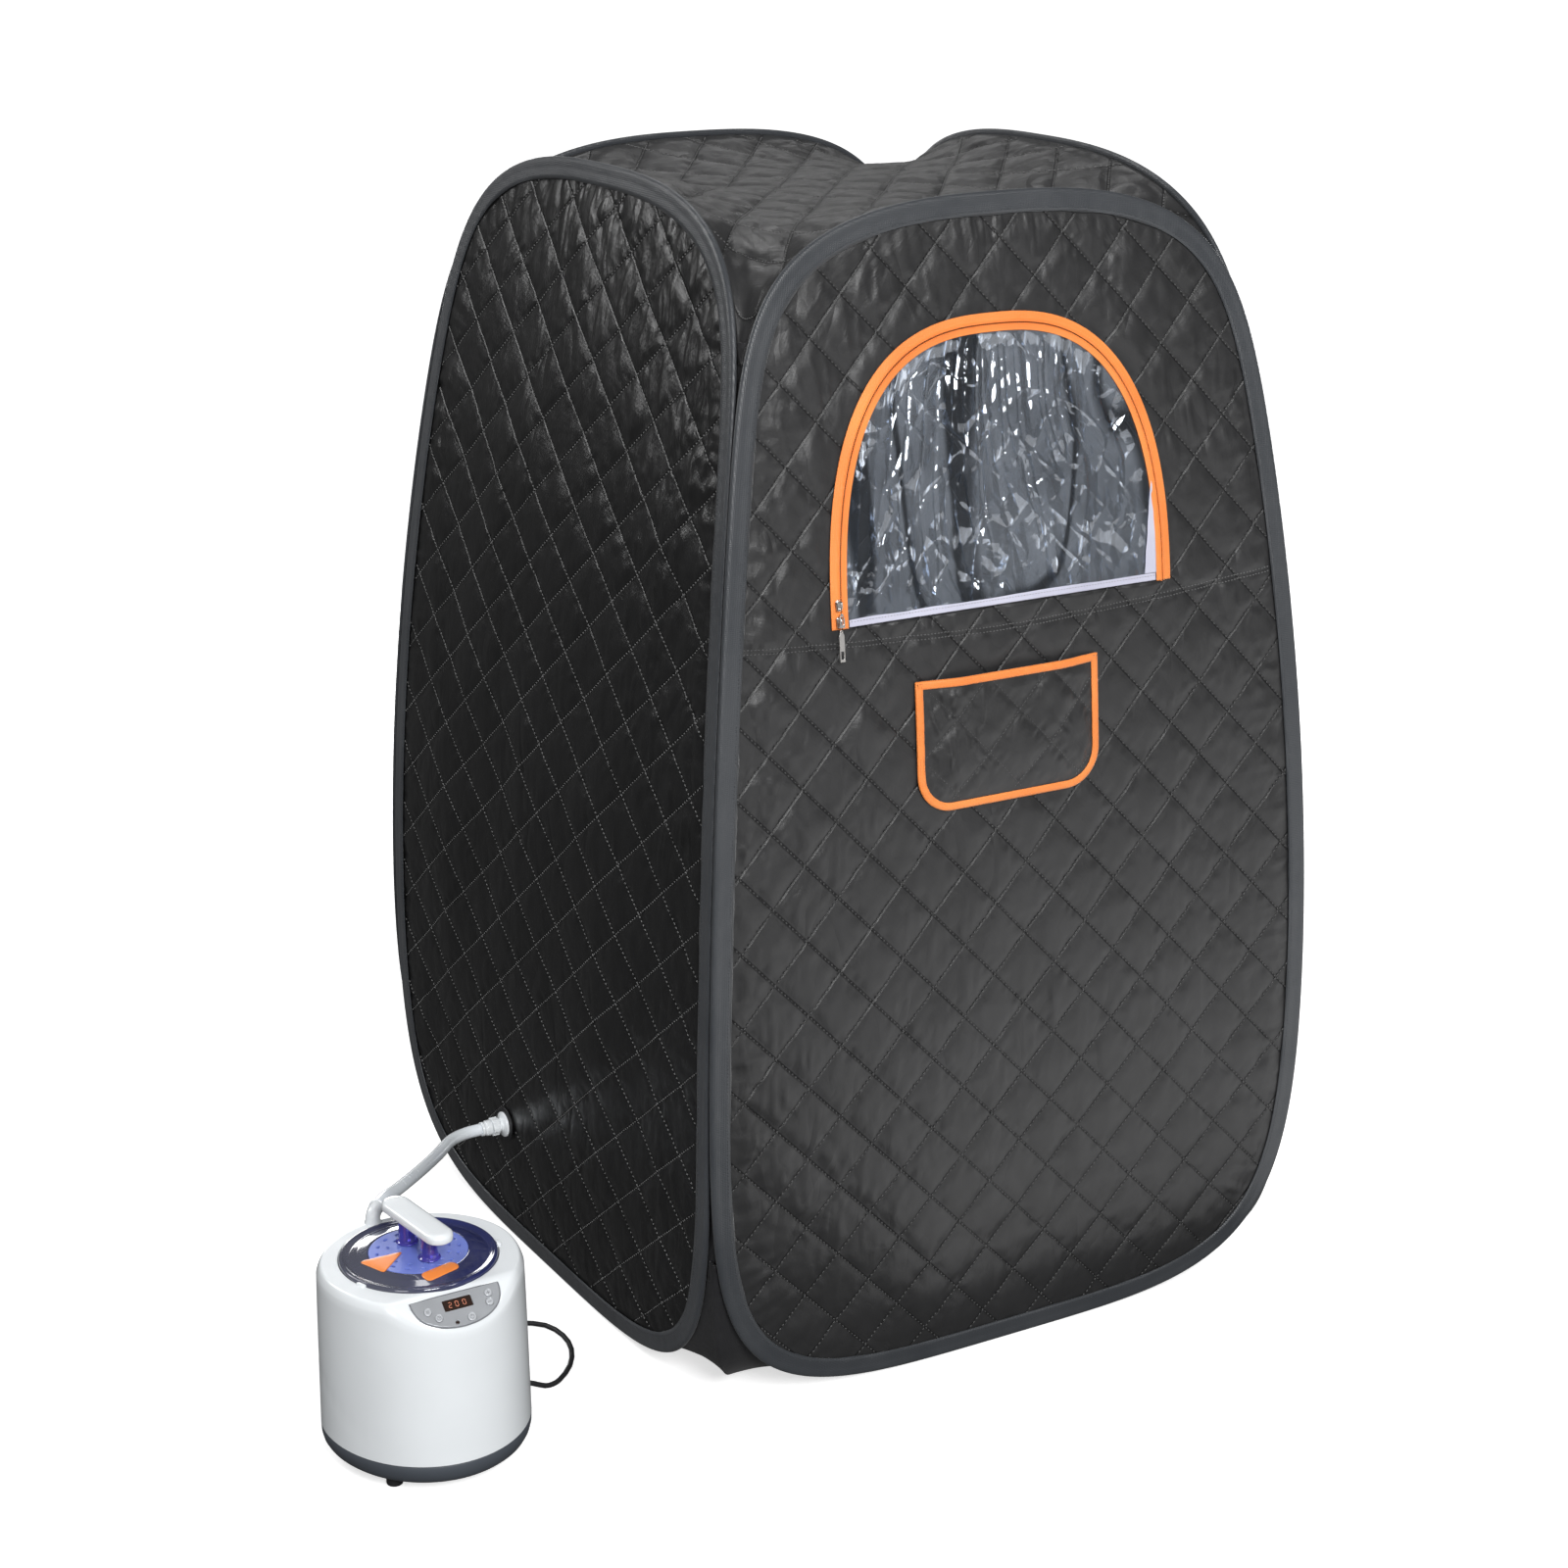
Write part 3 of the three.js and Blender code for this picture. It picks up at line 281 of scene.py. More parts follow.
def join_meshes(name, parts, materials):
    """One object from several (points, faces), each part with its own material."""
    points, faces, slots, offset = [], [], [], 0
    kinds = list(dict.fromkeys(materials))
    for (part_points, part_faces), material in zip(parts, materials):
        points.append(np.asarray(part_points))
        faces += [tuple(int(i) + offset for i in face) for face in part_faces]
        slots += [kinds.index(material)] * len(part_faces)
        offset += len(part_points)
    piece = add_mesh(name, np.concatenate(points), faces, None)
    for material in kinds:
        piece.data.materials.append(material)
    if len(piece.data.polygons) == len(slots):
        piece.data.polygons.foreach_set("material_index", slots)
    return piece


def merge(name, pieces):
    """Several objects as one, keeping their materials."""
    kinds, points, faces, slots, offset = [], [], [], [], 0
    for piece in pieces:
        data = piece.data
        co = np.empty(len(data.vertices) * 3)
        data.vertices.foreach_get("co", co)
        points.append(co.reshape(-1, 3))
        material = data.materials[0]
        if material not in kinds:
            kinds.append(material)
        for polygon in data.polygons:
            faces.append(tuple(i + offset for i in polygon.vertices))
            slots.append(kinds.index(material))
        offset += len(data.vertices)
        bpy.data.objects.remove(piece)
    whole = add_mesh(name, np.concatenate(points), faces, None, scale=1.0)
    for material in kinds:
        whole.data.materials.append(material)
    whole.data.polygons.foreach_set("material_index", slots)
    return whole


def sharpen(piece, degrees=38):
    """Smooth shading that keeps edges sharper than this angle."""
    piece.data.set_sharp_from_angle(angle=math.radians(degrees))
    return piece


def fix_outward(piece):
    """Turns every face of a closed mesh outwards."""
    work = bmesh.new()
    work.from_mesh(piece.data)
    bmesh.ops.recalc_face_normals(work, faces=work.faces)
    work.to_mesh(piece.data)
    work.free()
    return piece


def attach(piece, body, *nodes, slot=None):
    """The piece rides on a body and stands for CAD nodes; slot is not used."""
    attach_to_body(piece, body)
    if nodes:
        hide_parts(*nodes)
    return piece


# ------------------------------------------------------------------ helpers: shader nodes


def feed(made, inputs):
    """Gives a node's inputs, by name or number, a value each or the output of another node."""
    for key, value in inputs.items():
        if isinstance(value, bpy.types.NodeSocket):
            made.id_data.links.new(value, made.inputs[key])
        else:
            made.inputs[key].default_value = value


def node(tree, kind, inputs=None, out=0, **settings):
    """One output of a new node."""
    made = tree.nodes.new("ShaderNode" + kind)
    for key, value in settings.items():
        setattr(made, key, value)
    feed(made, inputs or {})
    return made.outputs[out]


def calculated(tree, operation, *values):
    return node(tree, "Math", dict(enumerate(values)), operation=operation)


def noise(tree, where, scale, detail, **more):
    return node(tree, "TexNoise", {"Vector": where, "Scale": scale, "Detail": detail, **more})


def ramp(tree, factor, stops):
    """A colour ramp through (place, colour) stops; a colour that is one number is a grey."""
    made = node(tree, "ValToRGB", {"Fac": factor}).node
    while len(made.color_ramp.elements) < len(stops):
        made.color_ramp.elements.new(0.5)
    for element, (place, colour) in zip(made.color_ramp.elements, stops):
        element.position = place
        element.color = (*(colour if isinstance(colour, tuple) else (colour,) * 3), 1)
    return made.outputs["Color"]


def raised(tree, height, strength, distance, **more):
    return node(tree, "Bump", {"Height": height, "Strength": strength, "Distance": distance, **more})


def new_material(name):
    """A material, its node tree, its main shader and each point's place on the object."""
    material = bpy.data.materials.new(name)
    material.use_nodes = True
    tree = material.node_tree
    return material, tree, tree.nodes["Principled BSDF"], node(tree, "TexCoord", out="Object")


def colour_of(shader):
    """What feeds a shader's colour now."""
    return shader.inputs["Base Color"].links[0].from_socket


# ------------------------------------------------------------------ camera, floor and light


def make_camera():
    camera = bpy.data.objects.new("camera", bpy.data.cameras.new("camera"))
    bpy.context.scene.collection.objects.link(camera)
    camera.data.lens = 68.1
    camera.data.sensor_width = 36
    yaw, pitch = math.radians(29.95), math.radians(18.45)
    camera.location = (-1.885, -3.156, 1.8205)
    forward = Vector((math.sin(yaw) * math.cos(pitch), math.cos(yaw) * math.cos(pitch), -math.sin(pitch)))
    camera.rotation_mode = "QUATERNION"
    camera.rotation_quaternion = forward.to_track_quat("-Z", "Y")
    bpy.context.scene.camera = camera


# place, target, size and power of each lamp
LAMPS = {
    "key": ((-1.1, -4.4, 3.0), (-0.1, -0.3, 0.7), (1.5, 1.5), 190),
    "pot_fill": ((-2.9, -2.3, 1.3), (-0.75, -0.3, 0.1), (0.9, 0.9), 16),
    "top_front": ((0.9, -2.9, 3.4), (0, -0.3, 1.2), (0.8, 0.8), 25),
    "back_strip": ((-2.6, 2.4, 2.9), (-0.2, 0, 1.1), (0.6, 2.4), 60),
    "top": ((0.4, 1.2, 3.8), (0, 0, 1.2), (1.2, 0.8), 18),
    "roof_sheen": ((1.6, 2.9, 2.6), (0, 0, 1.4), (1.2, 0.6), 3),
    "right_fill": ((3.2, 0.9, 0.9), (0.42, 0, 0.75), (1.4, 1.4), 50),
    "back_fill": ((0.5, 3.3, 0.9), (0, 0.46, 0.75), (1.4, 1.4), 50),
    "front_card": ((2.1, -3.52, 0.06), (2.1, -3.52, 1.0), (4.4, 6.0), 108),
}


def make_lamps():
    for name, (place, target, size, power) in LAMPS.items():
        data = bpy.data.lights.new(name, "AREA")
        data.shape = "RECTANGLE"
        data.size, data.size_y = size
        data.energy = power
        lamp = bpy.data.objects.new(name, data)
        lamp.location = place
        lamp.rotation_mode = "QUATERNION"
        lamp.rotation_quaternion = (Vector(target) - Vector(place)).to_track_quat("-Z", "Y")
        bpy.context.scene.collection.objects.link(lamp)
    # the low card is seen only in reflections: it gives the front's satin and the film their sheen
    lamp.visible_diffuse = False
    lamp.visible_transmission = False


def make_world():
    """A white backdrop, but cloth and film mirror a darker room than the one that lights them."""
    world = bpy.data.worlds.new("studio")
    world.use_nodes = True
    tree = world.node_tree
    rays = node(tree, "LightPath").node.outputs
    strength = 0.20
    for kind, change in (("Is Glossy Ray", -0.12), ("Is Camera Ray", 0.80)):
        strength = calculated(tree, "MULTIPLY_ADD", rays[kind], change, strength)
    feed(tree.nodes["Background"], {"Color": (1, 1, 1, 1), "Strength": strength})
    bpy.context.scene.world = world
    bpy.context.scene.view_settings.view_transform = "Standard"


def make_floor_sweep(half=40):
    """A lit sweep: the floor glows enough to stay white, more where the lamps fall off."""
    paint, tree, shader, where = new_material("floor_paint")
    reach = node(tree, "VectorMath", {0: where}, "Value", operation="LENGTH")
    glow = node(tree, "MapRange", {"Value": reach, "From Min": 1.2, "From Max": 3.2, "To Min": 0.62, "To Max": 1.0})
    feed(shader, {"Base Color": (0.8, 0.8, 0.8, 1), "Roughness": 0.9, "Specular IOR Level": 0.0,
                  "Emission Color": (1, 1, 1, 1), "Emission Strength": glow})
    corners = [(-half, -half, 0), (half, -half, 0), (half, half, 0), (-half, half, 0)]
    sweep = add_mesh("floor", corners, [(0, 1, 2, 3)], paint, shade=False, scale=1.0)
    sweep.visible_glossy = False
    sweep.visible_diffuse = False


make_camera()
make_world()
make_floor_sweep()
make_lamps()

# ------------------------------------------------------------------ materials


def fabric(name, dark, light, roughness, weave=1400, bump=0.15, sheen=0.1, specular=0.5):
    """Woven cloth: fine warp and weft bump, slow colour change, uneven gloss; weave is in threads a metre."""
    material, tree, shader, where = new_material(name)
    threads = [node(tree, "TexWave", {"Vector": where, "Scale": weave / 6.3, "Distortion": 1.5}, "Fac",
                    bands_direction=axis) for axis in ("X", "Z")]
    gloss = [(0.3, roughness * 0.85), (0.7, roughness * 1.15)]
    feed(shader, {
        "Base Color": ramp(tree, noise(tree, where, 9.0, 4.0), [(0.3, dark), (0.7, light)]),
        "Roughness": ramp(tree, noise(tree, where, 60.0, 3.0), gloss),
        "Normal": raised(tree, calculated(tree, "ADD", *threads), bump, 0.0004),
        "Sheen Weight": sheen,
        "Sheen Roughness": 0.4,
        "Specular IOR Level": specular,
    })
    return material


def creases(tree, scale, stretch, detail, seed):
    """Sharp thin creases between smooth fields, longer along Z the more they are stretched."""
    where = node(tree, "Mapping", {"Vector": node(tree, "TexCoord", out="Object"), "Scale": (1, 1, 1 / stretch),
                                   "Location": (seed, seed * 0.7, seed * 1.3)})
    wander = noise(tree, where, scale, detail, Roughness=0.55, Distortion=0.5)
    apart = calculated(tree, "ABSOLUTE", calculated(tree, "SUBTRACT", wander, 0.5))
    return calculated(tree, "MINIMUM", calculated(tree, "MULTIPLY", apart, 9.0), 1.0)


def mark_lattice(cloth, a, b, keep=None):
    """Keeps each point's place in the quilting lattice with the mesh, for the cloth's material."""
    grid = np.stack([a, b, np.ones(np.shape(a))], -1)
    values = thick_sheet(grid, grid, keep)[0]
    cloth.data.attributes.new("lattice", "FLOAT_VECTOR", "POINT").data.foreach_set("vector", values.ravel())


def quilted(material):
    """Painted shade that darkens the cloth's colour along the stitched grooves, and bumped fine creases, from each
    point's place in the quilting lattice.
    """
    tree = material.node_tree
    shader = tree.nodes["Principled BSDF"]
    lattice = node(tree, "Attribute", out="Vector", attribute_name="lattice")
    parts = node(tree, "SeparateXYZ", {0: lattice}).node.outputs
    near = []
    for axis in ("X", "Y"):
        share = calculated(tree, "FRACT", calculated(tree, "ADD", parts[axis], 0.5))
        near.append(calculated(tree, "ABSOLUTE", calculated(tree, "SUBTRACT", share, 0.5)))
    away = calculated(tree, "MULTIPLY", calculated(tree, "MINIMUM", *near), 5.0)
    unmarked = calculated(tree, "SUBTRACT", 1.0, parts["Z"])
    away = calculated(tree, "MINIMUM", calculated(tree, "ADD", away, unmarked), 1.0)
    # painted shade: the cloth's colour is darkened towards each stitch line, standing in for the grooves' shadow
    shade = ramp(tree, away, [(0.0, 0.42), (0.07, 0.60), (0.20, 0.95), (0.6, 1.0)])
    groove_shaded_colour = node(tree, "VectorMath", {0: colour_of(shader), 1: shade}, operation="MULTIPLY")
    patches = noise(tree, node(tree, "TexCoord", out="Object"), 7.0, 2.0)
    folds = calculated(tree, "MULTIPLY", creases(tree, 15.0, 2.6, 1.5, 3.0),
                       ramp(tree, patches, [(0.42, 0.12), (0.60, 1.0)]))
    fine = calculated(tree, "MULTIPLY", creases(tree, 42.0, 1.6, 1.0, 8.0), 0.10)
    groove = ramp(tree, away, [(0.0, 0.35), (0.18, 1.0)])
    height = calculated(tree, "ADD", calculated(tree, "ADD", folds, fine), groove)
    weave = shader.inputs["Normal"].links[0].from_node
    feed(weave, {"Normal": raised(tree, height, 0.75, 0.0016)})
    feed(shader, {"Base Color": groove_shaded_colour})
    return material


def moulded(name, colour, roughness, coat=0.0, clear=0.0, grain=900.0, bump=0.05, variation=0.04, metallic=0.0,
            glow=0.0):
    """Plastic, rubber or metal: slow colour change, uneven gloss, fine grain; clear lets light through."""
    material, tree, shader, where = new_material(name)
    low = tuple(c * (1 - variation) for c in colour)
    high = tuple(min(1.0, c * (1 + variation)) for c in colour)
    gloss = [(0.3, roughness * 0.93), (0.75, min(1.0, roughness * 1.1 + 0.01))]
    feed(shader, {
        "Base Color": ramp(tree, noise(tree, where, 14.0, 5.0), [(0.3, low), (0.7, high)]),
        "Roughness": ramp(tree, noise(tree, where, 45.0, 6.0, Distortion=0.6), gloss),
        "Normal": raised(tree, noise(tree, where, grain, 2.0), bump, 0.0005),
        "Metallic": metallic,
        "Coat Weight": coat,
        "Coat Roughness": 0.06,
        "Transmission Weight": clear,
    })
    if glow:
        feed(shader, {"Emission Color": (*colour, 1), "Emission Strength": glow})
    return material


def lid_with_painted_reflection(material, reflection_grey):
    """The clear lid's colour turns a paler grey towards its left side, a painted reflection of the bright room."""
    tree = material.node_tree
    shader = tree.nodes["Principled BSDF"]
    across = node(tree, "SeparateXYZ", {0: node(tree, "TexCoord", out="Object")}, "X")
    # painted reflection: a paler grey mixed in towards the lid's left side, by its x place
    side = ramp(tree, calculated(tree, "MULTIPLY_ADD", across, -5.0, -3.2), [(0.25, 0), (0.75, 1)])
    mixed = node(tree, "Mix", {"Factor": side, 6: colour_of(shader), 7: (*reflection_grey, 1)}, 2, data_type="RGBA")
    feed(shader, {"Base Color": mixed})
    return material


def clear_film(name, body, haze, shine):
    """Thin clear sheet: see-through with a milky haze, mirroring more at a slant, crumpled in facets."""
    material, tree, shader, where = new_material(name)
    feed(shader, {"Base Color": (*body, 1), "Roughness": 0.5})
    through = node(tree, "BsdfTransparent", {"Color": (0.93, 0.95, 0.98, 1)})
    cloud = ramp(tree, noise(tree, where, 11.0, 4.0), [(0.3, haze * 0.7), (0.75, haze * 1.4)])
    streaks = ramp(tree, creases(tree, 8.0, 5.0, 1.5, 2.0), [(0.15, 0.15), (0.45, 1.0)])
    milk = calculated(tree, "MULTIPLY", cloud, streaks)
    sheet = node(tree, "MixShader", {"Fac": milk, 1: through, 2: shader.outputs[0]})
    warp = noise(tree, where, 14.0, 2.0).node.outputs["Color"]
    bent = node(tree, "VectorMath", {0: warp, 1: (0.06, 0.06, 0.06), 2: where}, operation="MULTIPLY_ADD")
    large, small = (node(tree, "TexVoronoi", {"Vector": bent, "Scale": scale}) for scale in (26.0, 95.0))
    facets = calculated(tree, "ADD", large, calculated(tree, "MULTIPLY", small, 0.22))
    amount = ramp(tree, noise(tree, where, 9.0, 2.0), [(0.44, 0.06), (0.66, 0.75)])
    ridges = calculated(tree, "MULTIPLY", creases(tree, 17.0, 3.0, 2.0, 5.0), 0.55)
    normal = raised(tree, calculated(tree, "ADD", calculated(tree, "MULTIPLY", facets, amount), ridges), 0.8, 0.0045)
    mirror = node(tree, "BsdfAnisotropic", {"Color": (0.90, 0.94, 1.0, 1), "Roughness": 0.10, "Normal": normal})
    facing = node(tree, "LayerWeight", {"Blend": 0.40, "Normal": normal})
    share = calculated(tree, "MINIMUM", calculated(tree, "MULTIPLY", facing, shine), 1.0)
    mixed = node(tree, "MixShader", {"Fac": share, 1: sheet, 2: mirror})
    feed(tree.nodes["Material Output"], {"Surface": mixed})
    return material


QUILT = quilted(fabric("quilted_satin", (0.022, 0.022, 0.0225), (0.027, 0.027, 0.028), 0.40, sheen=0.03,
                       specular=0.40))
# a darker copy of the same satin for the left wall: painted shade for the side that gets less light
SHADED_SIDE_QUILT = quilted(fabric("quilted_satin_painted_shade", (0.009, 0.009, 0.0092), (0.012, 0.012, 0.0124), 0.34,
                            sheen=0.01, specular=0.34))
TAPE = fabric("edge_tape", (0.036, 0.040, 0.046), (0.050, 0.054, 0.060), 0.42, weave=900, bump=0.3)
LINING = fabric("lining_cloth", (0.012, 0.012, 0.014), (0.022, 0.022, 0.024), 0.6, weave=1100, bump=0.2)
ORANGE = fabric("orange_tape", (0.86, 0.22, 0.035), (0.98, 0.30, 0.06), 0.55, weave=1000, bump=0.35, sheen=0.2)
LILAC = fabric("hem_cloth", (0.50, 0.50, 0.62), (0.62, 0.62, 0.74), 0.5, weave=1600, bump=0.2)
THREAD = fabric("stitch_thread", (0.075, 0.075, 0.076), (0.105, 0.105, 0.106), 0.55, weave=3000)
SIDE_THREAD = fabric("side_stitch_thread", (0.12, 0.12, 0.12), (0.17, 0.17, 0.17), 0.5, weave=3000)
SEAM_THREAD = fabric("tape_thread", (0.03, 0.032, 0.036), (0.045, 0.048, 0.052), 0.6, weave=3000)
ORANGE_THREAD = fabric("orange_thread", (0.90, 0.30, 0.08), (1.0, 0.42, 0.14), 0.5, weave=3000)
FILM = clear_film("clear_pvc", (0.42, 0.46, 0.52), 0.18, 1.5)
STEEL = moulded("zip_steel", (0.62, 0.60, 0.58), 0.28, metallic=1.0, grain=300)
BRUSHED = moulded("brushed_steel", (0.60, 0.60, 0.61), 0.3, metallic=1.0, grain=500, bump=0.2)
WHITE = moulded("white_plastic", (0.84, 0.875, 0.90), 0.22, coat=0.4, variation=0.015, bump=0.02)
SLATE = moulded("slate_plastic", (0.065, 0.075, 0.09), 0.42, grain=1800, bump=0.12)
RUBBER = moulded("black_rubber", (0.016, 0.016, 0.018), 0.5, grain=1500, bump=0.12)
HOSE = moulded("clear_hose", (0.88, 0.93, 1.0), 0.25, coat=0.5, bump=0.03)
# the blue lid, with a painted reflection in pale grey over its left side
LID_PAINTED_REFLECTION = lid_with_painted_reflection(moulded("blue_lid", (0.028, 0.036, 0.15), 0.1, coat=0.9, clear=0.3, variation=0.25, bump=0.01),
              (0.115, 0.12, 0.165))
PERIWINKLE = moulded("diffuser_blue", (0.17, 0.23, 0.66), 0.3, coat=0.4, variation=0.12, bump=0.04)
POST_BLUE = moulded("post_blue", (0.12, 0.10, 0.62), 0.12, coat=0.6, clear=0.5, variation=0.35)
SILVER = moulded("silver_plastic", (0.50, 0.52, 0.55), 0.34, metallic=0.55, grain=1800, bump=0.08)
GREY = moulded("grey_plastic", (0.20, 0.21, 0.23), 0.4, grain=1500, bump=0.08)
BUTTON = moulded("button_plastic", (0.55, 0.57, 0.60), 0.3, metallic=0.2, grain=1500, bump=0.06)
DISPLAY = moulded("display_glass", (0.030, 0.016, 0.012), 0.08, coat=1.0, bump=0.0)
DIGIT = moulded("display_digit", (0.55, 0.20, 0.12), 0.4, glow=0.5, bump=0.0)
STICKER = moulded("orange_sticker", (0.93, 0.27, 0.05), 0.35, coat=0.2, bump=0.05)
BOARD = moulded("circuit_board", (0.02, 0.10, 0.05), 0.4, grain=700, bump=0.15)

# ------------------------------------------------------------------ steam hose and mains lead, in the pot's frame


def in_pot(points):
    return np.asarray(points, float) + POT_AT


HOSE_END = np.array([263.92, 417.0, 164.0])
HOSE_ROUTE = [
    (-1.8, 116.2, 250),
    (14, 136, 246.5),
    (50, 181.5, 230.5),
    (95, 241, 211),
    (138, 298, 193.5),
    (175, 347, 180),
    (204, 385.5, 171.2),
    (216, 398.5, 168.4),
    (229.5, 408.5, 166),
    (243, 415, 164.5),
    HOSE_END - [8, 0, 0],
    HOSE_END,
]
ELBOW_ROUTE = [
    (-14, 101.5, 238.4),
    (-14, 101.5, 241),
    (-13, 102.7, 245.5),
    (-9.5, 106.9, 248.9),
    (-4.5, 112.9, 250),
    (-2.9, 114.9, 250),
]
LEAD_RADIUS = 3.2
LEAD_ROUTE = [
    (136.6, 27, 20),
    (139, 27, 20),
    (152, 27.4, 14.5),
    (168, 29, 6.2),
    (178, 31, 4.4),
    (190, 37, 3.7),
    (217, 63, 3.4),
    (236, 98, 3.4),
    (242, 134, 3.4),
    (234, 168, 3.4),
    (208, 190, 3.4),
    (170, 203, 3.4),
    (125, 213, 3.4),
]
# the coil's middle, and the radii of its two rows of turns and of where the lead comes in
COIL = {"x": 75, "y": 262, "outer": 38.2, "inner": 31.8, "entry": 47.7, "floor": 3.4}
TAIL_ROUTE = [(28.6, 292, 3.6), (39, 320, 5.2), (61, 334, 11.4), (65, 334, 11.4), (67.4, 334, 11.4)]
PLUG_AT = (85, 334, 11.4)


def coil_points():
    """Just over four clockwise turns: outer, inner, up a layer, inner, outer, and off towards the plug."""
    turns = [0, 60, 380, 440, 680, 740, 980, 1040, 1400, 1480, 1555]
    radii = [COIL["entry"], COIL["outer"], COIL["outer"], COIL["inner"], COIL["inner"], COIL["inner"],
             COIL["inner"], COIL["outer"], COIL["outer"], COIL["entry"] - 2, COIL["entry"] - 0.6]
    layer = 2 * LEAD_RADIUS
    lifts = [0, 0, 0, 0, 0, layer, layer, layer, layer, layer * 0.7, 0]
    turned = np.arange(0, 1555.1, 22.2)
    radius = np.interp(turned, turns, radii)
    angle = np.radians(-75.4 - turned)
    z = COIL["floor"] + np.interp(turned, turns, lifts)
    return np.stack([COIL["x"] + radius * np.cos(angle), COIL["y"] + radius * np.sin(angle), z], -1)


def along_x(profile, start_x, sides=48):
    """Points and faces of a turned piece whose axis runs along X from start_x."""
    points, faces = rings_mesh(lathe_rings(profile, sides))
    return points[:, [2, 0, 1]] + [start_x, 0, 0], faces


def make_hose():
    route = in_pot(smooth_route(HOSE_ROUTE, 6))
    hose = add_mesh("hose_tube", *rings_mesh(tube_rings(route, 7.9, 20)), HOSE)
    attach(hose, "steam_pot", "steam_hose", slot="hose")
    end = in_pot(HOSE_END)
    profile = rounded([(7, 0), (9.2, 0), (9.6, 3), (8.9, 4), (8.9, 6), (10.2, 7), (10.4, 14), (7, 14)], 0.8)
    points, faces = along_x(profile, 0.3)
    collar = sharpen(add_mesh("hose_collar_turned", points + end, faces, WHITE))
    attach(collar, "steam_pot", "hose_collar")
    profile = rounded([(4, 0), (11.6, 0), (11.6, 9), (9, 11), (9, 14), (16.6, 16.4), (16.9, 19), (6, 19)], 0.9)
    points, faces = along_x(profile, 0)
    # six lugs round the nut's wide end
    lobe = 1 + 0.05 * np.sign(np.cos(6 * np.arctan2(points[:, 2], points[:, 1])))
    wide = (np.hypot(points[:, 1], points[:, 2]) > 10) & (points[:, 0] < 10)
    points[:, 1:] *= np.where(wide, lobe, 1)[:, None]
    nut = sharpen(add_mesh("port_connector_turned", points + end + [14.9, 0, 0], faces, WHITE))
    attach(nut, "steam_pot", "port_connector")


def make_lead():
    start, coil = np.array(LEAD_ROUTE), coil_points()
    route = in_pot(np.concatenate([smooth_route(np.concatenate([start, coil[:1]]), 2)[:-1],
                                   smooth_route(coil, 2)[:-1],
                                   smooth_route(np.concatenate([coil[-1:], TAIL_ROUTE]), 3)]))
    lead = add_mesh("mains_lead_run", *rings_mesh(tube_rings(route, LEAD_RADIUS, 14)), RUBBER)
    attach(lead, "steam_pot", "mains_lead", "lead_coil", "lead_tail", slot="soft_rubber")
    plug, relief = make_plug(), make_relief()


def make_plug():
    """A moulded plug body with a ribbed neck and two flat pins."""
    at = in_pot(PLUG_AT)
    profile = rounded(
        [(3.3, -17), (5, -17), (5.6, -12), (8.6, -8), (9.6, 0), (10.6, 8), (10.8, 15), (9, 17), (2, 17)], 1.6
    )
    points, faces = along_x(profile, 0, 36)
    parts = [(points * [1, 1, 0.96] + at, faces)]
    outline = rounded([(16, -3.1), (32, -3.1), (34, -1.4), (34, 1.4), (32, 3.1), (16, 3.1)], 0.5, closed=True)
    for side in (-4.5, 4.5):
        parts.append(rings_mesh(np.array([[at + [x, side + c, z] for x, z in outline] for c in (-0.75, 0.75)])))
    plug = sharpen(join_meshes("mains_plug_moulded", parts, [RUBBER, BRUSHED, BRUSHED]))
    return attach(plug, "steam_pot", "mains_plug")


def make_relief():
    """The tapered, ribbed strain relief where the lead leaves the pot."""
    start, length, bore, ribs = 116.3, 20, 3.3, 8
    steps = np.linspace(0, 1, 41)
    radius = 6.0 - 2.3 * steps + 0.35 * np.sign(np.sin(steps * ribs * 2 * np.pi)) * (steps > 0.15)
    profile = np.stack([radius, start + length * steps], -1)
    points, faces = along_x(np.concatenate([[(bore, start)], profile, [(bore, start + length)]]), 0, 24)
    relief = add_mesh("lead_gland_ribbed", in_pot(points + [0, *LEAD_ROUTE[0][1:]]), faces, RUBBER)
    return attach(sharpen(relief), "steam_pot", "lead_gland")


make_hose()
make_lead()

# ------------------------------------------------------------------ wall surfaces


def side_x(z):
    along = (z - BELLY_Z) / BELLY_Z
    return HALF_WIDTH - (z - BELLY_Z) * LEAN_X + BOW * (1 - along * along)


def front_y(z):
    along = (z - BELLY_Z) / BELLY_Z
    return HALF_DEPTH - (z - BELLY_Z) * LEAN_Y + BOW * (1 - along * along)


# half width at a height, height, and the place in space of (u across, z up, n outward) on each wall
WALLS = {
    "front": (lambda z: side_x(z) + TAPE_HALF, FRONT_HEIGHT, lambda u, z, n: (u, -(front_y(z) + n), z)),
    "right": (lambda z: front_y(z) - TAPE_HALF - 1.5, SIDE_HEIGHT, lambda u, z, n: (side_x(z) + n, u, z)),
    "back": (lambda z: side_x(z) + TAPE_HALF, FRONT_HEIGHT, lambda u, z, n: (-u, front_y(z) + n, z)),
    "left": (lambda z: front_y(z) - TAPE_HALF - 1.5, SIDE_HEIGHT, lambda u, z, n: (-(side_x(z) + n), -u, z)),
}
BODY = {"front": "front_wall", "right": "right_side", "back": "back_side", "left": "left_side"}


def put(wall, u, z, n):
    u, z, n = np.broadcast_arrays(u, z, n)
    return np.stack(WALLS[wall][2](u.astype(float), z.astype(float), n.astype(float)), -1)


def resample(line, count, closed=False):
    """count + 1 points evenly along a polyline, or count round a closed one."""
    if closed:
        line = np.concatenate([line, line[:1]])
    run = run_of(line)
    want = np.linspace(0, run[-1], count + 1)
    out = np.stack([np.interp(want, run, line[:, k]) for k in range(line.shape[1])], -1)
    return out[:-1] if closed else out


